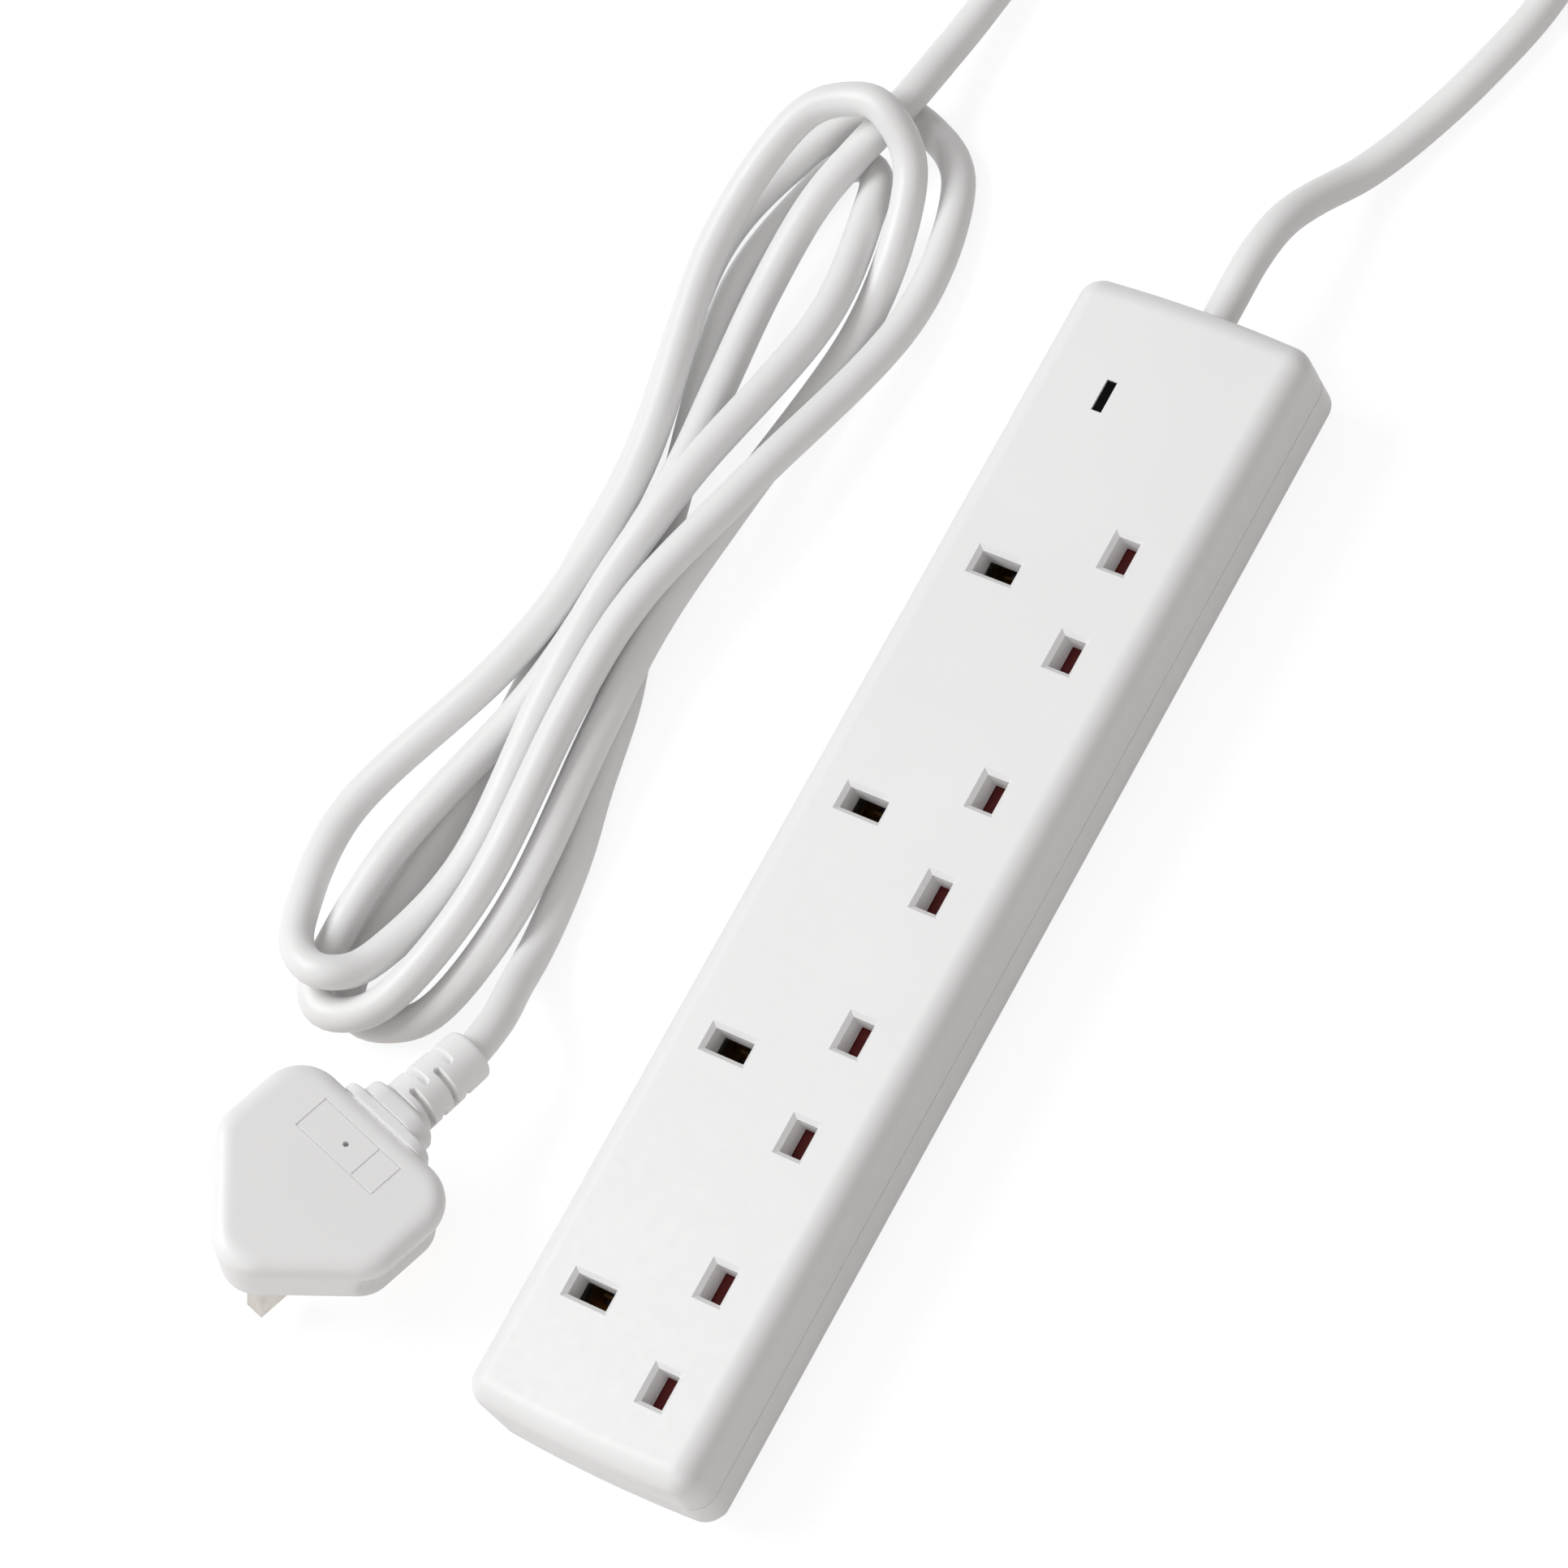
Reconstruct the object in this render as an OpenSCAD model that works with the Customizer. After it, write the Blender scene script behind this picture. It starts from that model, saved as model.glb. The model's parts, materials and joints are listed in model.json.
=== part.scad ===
// Four-gang trailing socket with a 13 A plug: shell, shutters, contacts, flex in a loose hank, moulded plug.
// Millimetres. X runs along the strip towards the cord, Y towards the earth pins, Z up; the floor is z = 0.

/* [Strip shell] */
// Length of the strip over its bowed ends
body_l = 252; // [246:1:300]
// Width of the strip
body_w = 52; // [52:0.5:64]
// Height of the strip
body_h = 28; // [28:0.5:34]
// Height of the joint between base and cover
parting_h = 15.6; // [14.5:0.1:16.5]
// Thickness of the side walls
wall = 2.2; // [2:0.1:2.6]
// Thickness of the cover's top
top_t = 2.4; // [2:0.1:2.6]
// Thickness of the base's floor
floor_t = 2.5; // [2:0.1:3]
// Radius of the corners seen from above
corner_r = 5; // [4:0.5:8]
// How far each end bows out
end_bow = 1; // [0.5:0.1:2]
// Radius of the cover's top edges
top_fillet = 5; // [2:0.1:5]
// Depth of the line where cover and base meet
groove_t = 0.25; // [0.1:0.05:0.4]
// Height of the line where cover and base meet
groove_h = 0.3; // [0.2:0.05:0.5]
// Height of the slope under the base's edge
under_h = 8.5; // [4:0.5:10]
// How far the slope runs in under the base
under_in = 4.2; // [2:0.1:4.5]
// Width of the lip that centres cover on base
lip_t = 1; // [0.8:0.1:1.1]
// Height of that lip
lip_h = 1.4; // [1:0.1:2]
// Gap between parts that fit together
fit_gap = 0.1; // [0.05:0.05:0.15]

/* [Outlets] */
// Length of the strip past the outlets at its cord end
cord_room = 37.6; // [36:0.1:42]
// Length of the strip past the outlets at its other end
end_room = 1.6; // [1:0.1:5]
// Earth pin from the line through the other two, and these from each other
pin_spread = 22.2; // [22:0.1:22.5]
// Width of the live apertures
live_slot_w = 6.9; // [6.6:0.1:7.2]
// Height of the live apertures
live_slot_h = 4.7; // [4.5:0.1:5]
// Width of the earth aperture
earth_slot_w = 4.5; // [4.3:0.1:4.8]
// Height of the earth aperture
earth_slot_h = 8.8; // [8.4:0.1:9.2]
// Chamfer round each aperture
slot_chamfer = 0.9; // [0.5:0.1:1.2]
// Wall of the well below each aperture
well_wall = 1.2; // [1:0.1:1.4]

/* [Shutters] */
// Depth of the shutters below the face
shutter_depth = 6.3; // [6:0.1:7]
// Thickness of a shutter
shutter_t = 1.8; // [1.5:0.1:2]
// Travel of a shutter
shutter_travel = 5.4; // [5.2:0.1:5.6]
// Cover of the shutter past its aperture
shutter_lap = 0.9; // [0.6:0.1:1.2]
// Width of the shutter's stem
stem_w = 7; // [5:0.5:8]
// Thickness of the rails that carry the shutters
rail_t = 1.2; // [1:0.1:1.6]
// Diameter of a shutter spring
spring_d = 3.2; // [2.8:0.1:3.2]
// Diameter of the spring wire
spring_wire = 0.5; // [0.4:0.05:0.6]
// Turns of a shutter spring
spring_turns = 7; // [5:1:9]

/* [Contacts] */
// Thickness of the brass strip
brass_t = 0.8; // [0.6:0.1:1]
// Thickness of a contact leaf
leaf_t = 0.6; // [0.5:0.1:0.7]
// Gap between the two leaves of a contact
leaf_gap = 4.5; // [4.4:0.1:4.6]
// Width of a live contact
live_leaf_w = 7; // [6:0.5:7.5]
// Length of an earth contact
earth_leaf_w = 7.8; // [7:0.2:8]
// Height of the busbars
bus_h = 6; // [5:0.5:7]
// Distance of the outer busbars from the walls
bus_wall_gap = 3; // [2.6:0.1:3.2]

/* [Fixings] */
// Diameter of the case screws
screw_d = 3; // [2.5:0.1:3.5]
// Diameter of the case screws' heads
screw_head_d = 6; // [5.5:0.1:6.2]
// Depth of the counterbore under each case screw
screw_sink = 6; // [4:0.5:8]
// Wall round a case screw's counterbore
boss_wall = 1.5; // [1.2:0.1:1.8]
// Diameter of the clamp screws
clamp_screw_d = 2.8; // [2.4:0.1:3]
// Round entry of the keyholes
keyhole_d = 9; // [8:0.5:10]
// Width of the keyholes' necks
keyhole_neck = 4.4; // [4:0.1:5]
// Length of the keyholes' necks
keyhole_run = 7; // [6:0.5:9]

/* [Indicator] */
// Length of the indicator window
window_l = 6.9; // [6:0.1:8]
// Width of the indicator window
window_w = 2.3; // [2:0.1:3]
// Distance of the window from the strip's cord end
window_in = 24.5; // [23.5:0.5:26]
// Place of the window across the strip
window_y = 8.5; // [8:0.1:9.5]
// Diameter of the neon lamp
lamp_d = 4.4; // [4:0.1:5]
// Length of the neon lamp
lamp_l = 12; // [10:0.5:13]

/* [Flex] */
// Diameter of the flex
cord_d = 7; // [6.6:0.1:7]
// Diameter of a core
core_d = 2.4; // [2:0.1:2.4]
// Depth of the flex's middle below the strip's top
exit_drop = 10; // [9.5:0.1:10.5]
// Length of flex gripped in the strip
grip_l = 18; // [16:0.5:19]

/* [Plug] */
// Width of the plug
plug_w = 44.4; // [44:0.2:52]
// How far the plug's sides draw in from its back to its face
plug_taper = 1.6; // [0:0.1:1.8]
// Thickness of the plug from face to back
plug_t = 15.5; // [15.5:0.1:18]
// Reach of the plug towards the cord, from the middle of the pins
plug_cord_end = 18.4; // [18.2:0.1:24]
// Reach of the plug's slanting sides on the middle line
plug_point = 27.6; // [27.4:0.1:33]
// Radius of the plug's corners
plug_corner_r = 9; // [6:0.5:10]
// Radius of the plug's back edge
plug_fillet = 3.2; // [2:0.1:3.4]
// Wall of the outer moulding round the bridge
skin_t = 3.2; // [2.8:0.1:3.4]
// Height of the bridge
bridge_h = 8.8; // [8.8:0.1:9.2]
// Length of the line and neutral pins
live_pin_l = 17.7; // [17.2:0.1:18.2]
// Length of the earth pin
earth_pin_l = 22.7; // [22.2:0.1:23.2]
// Insulated length of the line and neutral pins
sleeve_l = 9; // [8:0.1:9.5]
// Reach of the strain relief past the plug
relief_l = 23.6; // [22:0.2:26]
// Diameter of the strain relief's end
relief_d = 11; // [10.5:0.1:12]
// Height of the flex's middle over the plug's face
plug_exit_h = 10; // [10:0.1:10.2]
// Length of the fuse
fuse_l = 25.4; // [25:0.1:25.8]
// Diameter of the fuse
fuse_d = 6.3; // [6.1:0.05:6.35]
// Travel of the fuse carrier
carrier_travel = 12; // [8:0.5:16]

/* [Hidden] */
$fn = 48;
EPS = 0.01;
OUTLETS = 4;

white_plastic = [0.93, 0.93, 0.92];
white_flex = [0.91, 0.91, 0.9];
shutter_red = [0.5, 0.06, 0.05];
brass = [0.8, 0.62, 0.3];
steel = [0.7, 0.7, 0.72];

half_l = body_l / 2;
half_w = body_w / 2;
bow_r = (half_w * half_w + end_bow * end_bow) / (2 * end_bow);
cover_under = body_h - top_t;
half_pin = pin_spread / 2;
outlet_pitch = (body_l - cord_room - end_room) / OUTLETS;
outlet_shift = (end_room - cord_room) / 2;
exit_h = body_h - exit_drop;
window_x = half_l - window_in;

function outlet_x(i) = outlet_shift + outlet_pitch * (i - (OUTLETS - 1) / 2);
live_x = [half_pin, -half_pin];

// ---- shapes shared by the shell's two halves ----

module rounded_rect(l, w, r) {
    square([l - 2 * r, w], center = true);
    square([l, w - 2 * r], center = true);
    for (sx = [-1, 1]) for (sy = [-1, 1])
        translate([sx * (l / 2 - r), sy * (w / 2 - r)]) circle(r);
}

// The strip seen from above, drawn in by inset: bowed ends that run into round corners
module plan(inset = 0) {
    r = corner_r - inset / 2;
    bow = bow_r - inset;
    bow_x = half_l - bow_r;
    corner_y = half_w - inset - r;
    corner_x = bow_x + sqrt((bow - r) * (bow - r) - corner_y * corner_y);
    // where a corner meets its bow
    meet = [bow_x + (corner_x - bow_x) * bow / (bow - r), corner_y * bow / (bow - r)];
    square([2 * corner_x, body_w - 2 * inset], center = true);
    for (turn = [0, 180]) rotate(turn) {
        for (s = [-1, 1]) translate([corner_x, s * corner_y]) circle(r);
        intersection() {
            polygon([[0, -corner_y], [corner_x, -corner_y], [meet[0], -meet[1]], [half_l + 1, -meet[1]],
                [half_l + 1, meet[1]], meet, [corner_x, corner_y], [0, corner_y]]);
            translate([bow_x, 0]) circle(bow, $fn = 720);
        }
    }
}

// Upright profile of width w from z0 to z1, rounded at its top corners
module topped(w, z0, z1, r) {
    translate([-w / 2, z0]) square([w, z1 - z0 - r]);
    translate([-w / 2 + r, z0]) square([w - 2 * r, z1 - z0]);
    for (s = [-1, 1]) translate([s * (w / 2 - r), z1 - r]) circle(r);
}

// Upright profile of width w from 0 to z1, drawn in below under_h
module tapered_foot(w, z1) {
    polygon([[-w / 2 + under_in, 0], [w / 2 - under_in, 0], [w / 2, under_h], [w / 2, z1],
        [-w / 2, z1], [-w / 2, under_h]]);
}

module along_x(l) {
    rotate([90, 0, 90]) linear_extrude(l, center = true) children();
}

module along_y(l) {
    rotate([90, 0, 0]) linear_extrude(l, center = true) children();
}

// A straight box from its lowest corner to its highest
module box(a, b) {
    translate(a) cube(b - a);
}

// A frustum of rectangles: w x h at z0, grown by g on each side at z1
module funnel(w, h, g, z0, z1) {
    intersection() {
        along_x(w + 4 * g + 2)
            polygon([[-h / 2, z0], [h / 2, z0], [h / 2 + g, z1], [-h / 2 - g, z1]]);
        along_y(h + 4 * g + 2)
            polygon([[-w / 2, z0], [w / 2, z0], [w / 2 + g, z1], [-w / 2 - g, z1]]);
    }
}

// ---- fixings' places ----

end_boss_x = -half_l + 7.5;
cord_boss_x = half_l - 20.5;
side_boss_y = half_w - 8.5;
mid_boss_y = half_pin + 1.4;
case_screw_at = [[end_boss_x, 0], [outlet_shift - outlet_pitch, mid_boss_y],
    [outlet_shift, mid_boss_y], [outlet_shift + outlet_pitch, mid_boss_y],
    [cord_boss_x, side_boss_y], [cord_boss_x, -side_boss_y]];
base_boss_d = screw_head_d + 2 * fit_gap + 2 * boss_wall;
cover_boss_d = screw_d + 4;
screw_top = cover_under - 3;
keyhole_y = 0.5;
keyhole_x = [outlet_shift - outlet_pitch, outlet_shift + outlet_pitch];

clamp_x = half_l - 10.5;
clamp_l = 5;
clamp_screw_y = cord_d / 2 + 5.7;
clamp_bottom = exit_h + cord_d / 2 + fit_gap;
clamp_t = 2.2;
clamp_head_h = 1.5;
clamp_post_r = 3;

// ---- shutters ----

shutter_top = body_h - shutter_depth;
shutter_low = shutter_top - shutter_t;
well_low = shutter_top + 0.3;
blade_out = half_pin + live_slot_w / 2 + 3;
blade_y0 = -half_pin - live_slot_h / 2 - shutter_lap;
blade_y1 = -half_pin + live_slot_h / 2 + shutter_lap;
earth_face_y = half_pin - 4;
cam_y1 = earth_face_y + shutter_travel - 0.1;
cam_y0 = half_pin - earth_slot_h / 2 - 0.1;
cam_low = shutter_low - 4.1;
cam_w = 3.8;
cradle_top = cover_under - 0.3;
cradle_t = 0.8;
cradle_half = spring_d / 2 + 2 * fit_gap;
// How far the free end of the spring reaches into its cradle
spring_reach = 1;
spring_z = shutter_top + 0.3 + spring_d / 2;
stop_t = 1.6;
spring_y0 = -half_w + wall + stop_t + fit_gap;
spring_y1 = blade_y1 + spring_reach;
cradle_end = spring_y1 + shutter_travel + fit_gap;

// ---- contacts ----

contact_low = floor_t + 1.5;
earth_low = floor_t + 0.9;
line_y = -half_w + wall + bus_wall_gap + brass_t / 2;
neutral_y = -half_pin + leaf_gap / 2 + leaf_t + 3.4;
earth_y = half_w - wall - bus_wall_gap - brass_t / 2;
live_leaf_top = shutter_low - 1.3;
earth_leaf_top = cam_low - 0.5;
bus_end_x = outlet_x(OUTLETS - 1) + 18.2;
earth_end_x = outlet_x(OUTLETS - 1) + 10.2;
rail_y0 = line_y + brass_t / 2 + 0.4;
rail_y1 = blade_y1 + 0.3;

// ---- top cover ----

module aperture(w, h) {
    funnel(w, h, slot_chamfer, body_h - slot_chamfer, body_h);
    funnel(w, h, EPS, well_low - 1, body_h - slot_chamfer + EPS);
}

module well(w, h) {
    box([-w / 2 - well_wall, -h / 2 - well_wall, well_low],
        [w / 2 + well_wall, h / 2 + well_wall, cover_under + EPS]);
}

module each_outlet() {
    for (i = [0:OUTLETS - 1]) translate([outlet_x(i), 0, 0]) children();
}

module each_live() {
    for (x = live_x) translate([x, -half_pin, 0]) children();
}

module cover_shell() {
    difference() {
        intersection() {
            translate([0, 0, parting_h]) linear_extrude(body_h - parting_h) plan();
            along_x(body_l + 2) topped(body_w, 0, body_h, top_fillet);
            along_y(body_w + 2) topped(body_l, 0, body_h, top_fillet);
        }
        translate([0, 0, parting_h - 1]) linear_extrude(cover_under - parting_h + 1) plan(wall);
        translate([0, 0, parting_h - 1]) linear_extrude(lip_h + fit_gap + 1) plan(wall - lip_t - fit_gap);
        translate([0, 0, parting_h - EPS]) linear_extrude(groove_h) difference() {
            plan(-1);
            plan(groove_t);
        }
    }
}

// Reach of one outlet's face from the outlet's middle
face_rim = 1;
face_x = half_pin + live_slot_w / 2 + well_wall + face_rim;
face_low_y = -half_pin - live_slot_h / 2 - well_wall - face_rim;
face_high_y = half_pin + earth_slot_h / 2 + well_wall + face_rim;

// One outlet's part of the cover, with its apertures and their wells
module outlet_face() {
    color(white_plastic) difference() {
        union() {
            box([-face_x, face_low_y, cover_under], [face_x, face_high_y, body_h]);
            each_live() well(live_slot_w, live_slot_h);
            translate([0, half_pin, 0]) well(earth_slot_w, earth_slot_h);
        }
        each_live() aperture(live_slot_w, live_slot_h);
        translate([0, half_pin, 0]) aperture(earth_slot_w, earth_slot_h);
    }
}

module outlet_face_1() { translate([outlet_x(0), 0, 0]) outlet_face(); }
module outlet_face_2() { translate([outlet_x(1), 0, 0]) outlet_face(); }
module outlet_face_3() { translate([outlet_x(2), 0, 0]) outlet_face(); }
module outlet_face_4() { translate([outlet_x(3), 0, 0]) outlet_face(); }

module top_cover() {
    color(white_plastic) difference() {
        union() {
            cover_shell();
            // stop behind each shutter spring
            each_outlet() box([-2.6, -half_w + wall - EPS, shutter_top - 1],
                [2.6, spring_y0 - fit_gap, cover_under + EPS]);
            for (p = case_screw_at) translate([p[0], p[1], parting_h])
                cylinder(d = cover_boss_d, h = cover_under - parting_h + EPS);
        }
        each_outlet() box([-face_x, face_low_y, cover_under - 1], [face_x, face_high_y, body_h + 1]);
        for (p = case_screw_at) translate([p[0], p[1], parting_h - 1])
            cylinder(d = screw_d + fit_gap, h = screw_top - parting_h + 1.5);
        box([window_x - window_l / 2, window_y - window_w / 2, cover_under - 1],
            [window_x + window_l / 2, window_y + window_w / 2, body_h + 1]);
        cord_hole();
    }
}

cord_hole_d = cord_d + 0.6;

module cord_hole() {
    translate([half_l - wall - 1, 0, exit_h]) rotate([0, 90, 0]) cylinder(d = cord_hole_d, h = wall + 3);
}

// ---- base ----

module base_shell() {
    difference() {
        intersection() {
            linear_extrude(parting_h) plan();
            along_x(body_l + 2) tapered_foot(body_w, parting_h);
            along_y(body_w + 2) tapered_foot(body_l, parting_h);
        }
        intersection() {
            translate([0, 0, floor_t]) linear_extrude(parting_h) plan(wall);
            translate([0, 0, -floor_slope]) along_x(body_l) tapered_foot(body_w - 2 * wall, body_h);
            translate([0, 0, -floor_slope]) along_y(body_w) tapered_foot(body_l - 2 * wall, body_h);
        }
    }
    translate([0, 0, parting_h - EPS]) linear_extrude(lip_h + EPS) difference() {
        plan(wall - lip_t);
        plan(wall);
    }
}

// Drop of the inner slope that keeps the sloping wall as thick as the floor
floor_slope = 0.6;

module keyhole() {
    circle(d = keyhole_d);
    translate([0, -keyhole_neck / 2]) square([keyhole_run, keyhole_neck]);
    translate([keyhole_run, 0]) circle(d = keyhole_neck);
}

lamp_z = cover_under - 1.2 - 0.6 - lamp_d / 2;
lamp_post_w = 3.2;
resistor_d = 2.6;
resistor_l = 7;
resistor_y = 1.5;
resistor_z = floor_t + 1.1 + resistor_d / 2;

module base_inside() {
    each_outlet() {
        // pads under the live and earth contacts
        each_live() box([-2.5, -2.5, floor_t - EPS], [2.5, 2.5, contact_low]);
        box([-2.5, half_pin - 3, floor_t - EPS], [2.5, half_pin + 3, earth_low]);
        // rails that carry the shutter
        for (s = [-1, 1]) translate([s * (blade_out - rail_t / 2 - 0.3), 0, 0])
            box([-rail_t / 2, rail_y0, floor_t - EPS], [rail_t / 2, rail_y1, shutter_low - fit_gap]);
    }
    for (p = case_screw_at) translate([p[0], p[1], 0]) cylinder(d = base_boss_d, h = parting_h);
    // cradle and posts of the cord clamp
    box([clamp_x - 3.5, -5.5, floor_t - EPS], [clamp_x + 3.5, 5.5, exit_h - 1]);
    for (s = [-1, 1]) translate([clamp_x, s * clamp_screw_y, floor_t - EPS])
        cylinder(r = clamp_post_r, h = clamp_bottom - floor_t);
    // lamp post and resistor pad
    translate([window_x, window_y, 0])
        box([-2.5, -lamp_post_w / 2, floor_t - EPS], [2.5, lamp_post_w / 2, lamp_z - lamp_d / 2 - fit_gap]);
    translate([window_x - 2, resistor_y, 0])
        box([-2, -1.5, floor_t - EPS], [2, 1.5, resistor_z - resistor_d / 2 - fit_gap]);
}

module base_cover() {
    color(white_plastic) difference() {
        union() {
            base_shell();
            base_inside();
        }
        for (p = case_screw_at) translate([p[0], p[1], -1]) {
            cylinder(d = screw_head_d + 2 * fit_gap, h = screw_sink + 1);
            cylinder(d = screw_d + 4 * fit_gap, h = parting_h + 2);
        }
        for (x = keyhole_x) translate([x, keyhole_y, -1]) linear_extrude(floor_t + 2) keyhole();
        translate([clamp_x - 6, 0, exit_h]) rotate([0, 90, 0]) cylinder(d = cord_d + 2 * fit_gap, h = 12);
        for (s = [-1, 1]) translate([clamp_x, s * clamp_screw_y, clamp_bottom - 11])
            cylinder(d = clamp_screw_d + fit_gap, h = 12);
        cord_hole();
    }
}

// ---- shutters and their springs ----

module shutter() {
    color(shutter_red) {
        box([-blade_out, blade_y0, shutter_low], [blade_out, blade_y1, shutter_top]);
        box([-stem_w / 2, blade_y1 - EPS, shutter_low], [stem_w / 2, cam_y0 + EPS, shutter_top]);
        // cradle that the spring slides into as the shutter opens
        for (s = [-1, 1]) translate([s * (cradle_half + cradle_t / 2), 0, 0])
            box([-cradle_t / 2, blade_y1, shutter_top - EPS], [cradle_t / 2, cradle_end + EPS, cradle_top]);
        box([-cradle_half - cradle_t, cradle_end, shutter_top - EPS],
            [cradle_half + cradle_t, cradle_end + cradle_t, cradle_top]);
        along_x(cam_w) polygon([[cam_y0 - 3, shutter_top], [cam_y0, shutter_top], [cam_y1, cam_low + 0.6],
            [cam_y1, cam_low], [cam_y0 - 3, cam_low]]);
    }
}

// Point of a helix along Y at turn t
function coil_point(t, y0, y1, turns, r) =
    [r * cos(360 * t), y0 + (y1 - y0) * t / turns, r * sin(360 * t)];

module shutter_spring() {
    r = (spring_d - spring_wire) / 2;
    rings = spring_turns * 8;
    y0 = spring_y0 + spring_wire / 2;
    y1 = spring_y1 - spring_wire / 2;
    color(steel) translate([0, 0, spring_z])
        sweep([for (i = [0:rings]) coil_point(i / 8, y0, y1, spring_turns, r)], spring_wire, 6);
}

module shutter_1() { translate([outlet_x(0), 0, 0]) shutter(); }
module shutter_2() { translate([outlet_x(1), 0, 0]) shutter(); }
module shutter_3() { translate([outlet_x(2), 0, 0]) shutter(); }
module shutter_4() { translate([outlet_x(3), 0, 0]) shutter(); }
module shutter_spring_1() { translate([outlet_x(0), 0, 0]) shutter_spring(); }
module shutter_spring_2() { translate([outlet_x(1), 0, 0]) shutter_spring(); }
module shutter_spring_3() { translate([outlet_x(2), 0, 0]) shutter_spring(); }
module shutter_spring_4() { translate([outlet_x(3), 0, 0]) shutter_spring(); }

// ---- a round tube along a route, as one closed mesh ----

function unit(v) = v / norm(v);
function tangent(p, i) = unit(p[min(i + 1, len(p) - 1)] - p[max(i - 1, 0)]);
// Carries one side vector along the route without twist
function carried(p, i, s) = unit(s - (s * tangent(p, i)) * tangent(p, i));
function side_of(t) = abs(t[2]) < 0.9 ? unit(cross(t, [0, 0, 1])) : unit(cross(t, [1, 0, 0]));
function sides(p) = [for (i = 0, s = side_of(tangent(p, 0)); i < len(p);
    i = i + 1, s = i < len(p) ? carried(p, i, s) : s) s];

module sweep(p, d, n) {
    s = sides(p);
    ring = [for (i = [0:len(p) - 1]) let (t = tangent(p, i), u = s[i], v = cross(t, u))
        for (k = [0:n - 1]) p[i] + d / 2 * (cos(360 * k / n) * u + sin(360 * k / n) * v)];
    last = len(p) - 1;
    points = concat(ring, [p[0], p[last]]);
    walls = [for (i = [0:last - 1]) for (k = [0:n - 1])
        let (a = i * n + k, b = i * n + (k + 1) % n)
        for (f = [[a, b, b + n], [a, b + n, a + n]]) f];
    caps = [for (k = [0:n - 1]) each [[(k + 1) % n, k, last * n + n],
        [last * n + k, last * n + (k + 1) % n, last * n + n + 1]]];
    polyhedron(points, concat(walls, caps), convexity = 10);
}

// Catmull-Rom curve through the points q, n steps to a stretch
function curve_at(a, b, c, d, t) = 0.5 * (2 * b + (c - a) * t + (2 * a - 5 * b + 4 * c - d) * t * t
    + (3 * b - a - 3 * c + d) * t * t * t);
function curve(q, n) = let (m = len(q) - 1) concat([for (i = [0:m - 1]) for (k = [0:n - 1])
    curve_at(i == 0 ? 2 * q[0] - q[1] : q[i - 1], q[i], q[i + 1],
        i + 2 > m ? 2 * q[m] - q[m - 1] : q[i + 2], k / n)], [q[m]]);

// ---- contacts ----

// Two leaves standing on a plate, the slot between them along X
module live_contact() {
    box([-live_leaf_w / 2, -leaf_gap / 2 - leaf_t, contact_low],
        [live_leaf_w / 2, leaf_gap / 2 + leaf_t, contact_low + brass_t]);
    for (s = [-1, 1]) translate([0, s * (leaf_gap + leaf_t) / 2, 0])
        box([-live_leaf_w / 2, -leaf_t / 2, contact_low], [live_leaf_w / 2, leaf_t / 2, live_leaf_top]);
}

module line_busbar() {
    color(brass) {
        box([outlet_x(0) + half_pin - live_leaf_w / 2, line_y - brass_t / 2, contact_low],
            [bus_end_x, line_y + brass_t / 2, contact_low + bus_h]);
        each_outlet() translate([half_pin, -half_pin, 0]) {
            live_contact();
            box([-live_leaf_w / 2, line_y + half_pin, contact_low],
                [live_leaf_w / 2, -leaf_gap / 2, contact_low + brass_t]);
        }
    }
}

module neutral_busbar() {
    color(brass) {
        box([outlet_x(0) - half_pin - live_leaf_w / 2, neutral_y - brass_t / 2, contact_low],
            [bus_end_x, neutral_y + brass_t / 2, contact_low + bus_h]);
        each_outlet() translate([-half_pin, -half_pin, 0]) {
            live_contact();
            box([-live_leaf_w / 2, leaf_gap / 2, contact_low],
                [live_leaf_w / 2, neutral_y + half_pin, contact_low + brass_t]);
        }
    }
}

module earth_busbar() {
    w = leaf_gap / 2 + leaf_t;
    color(brass) {
        box([outlet_x(0) - w, earth_y - brass_t / 2, earth_low],
            [earth_end_x, earth_y + brass_t / 2, earth_low + bus_h]);
        each_outlet() {
            box([-w, half_pin - earth_leaf_w / 2, earth_low], [w, earth_y, earth_low + brass_t]);
            for (s = [-1, 1]) translate([s * (leaf_gap + leaf_t) / 2, half_pin, 0])
                box([-leaf_t / 2, -earth_leaf_w / 2, earth_low],
                    [leaf_t / 2, earth_leaf_w / 2, earth_leaf_top]);
        }
    }
}

// ---- indicator ----

module window_lens() {
    color([0.05, 0.02, 0.02]) translate([window_x, window_y, 0]) {
        box([-window_l / 2 + fit_gap, -window_w / 2 + fit_gap, cover_under - EPS],
            [window_l / 2 - fit_gap, window_w / 2 - fit_gap, body_h - 0.4]);
        box([-window_l / 2 - 1.3, -window_w / 2 - 1.3, cover_under - 1.2],
            [window_l / 2 + 1.3, window_w / 2 + 1.3, cover_under]);
    }
}

module neon_lamp() {
    straight = lamp_l - lamp_d;
    color([0.8, 0.5, 0.35]) translate([window_x, window_y, lamp_z]) {
        rotate([0, 90, 0]) cylinder(d = lamp_d, h = straight, center = true);
        for (s = [-1, 1]) translate([s * straight / 2, 0, 0]) sphere(d = lamp_d);
    }
}

module neon_resistor() {
    color([0.75, 0.65, 0.45]) translate([window_x - 2, resistor_y, resistor_z]) rotate([0, 90, 0])
        cylinder(d = resistor_d, h = resistor_l, center = true);
}

lead_d = 0.6;

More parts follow.
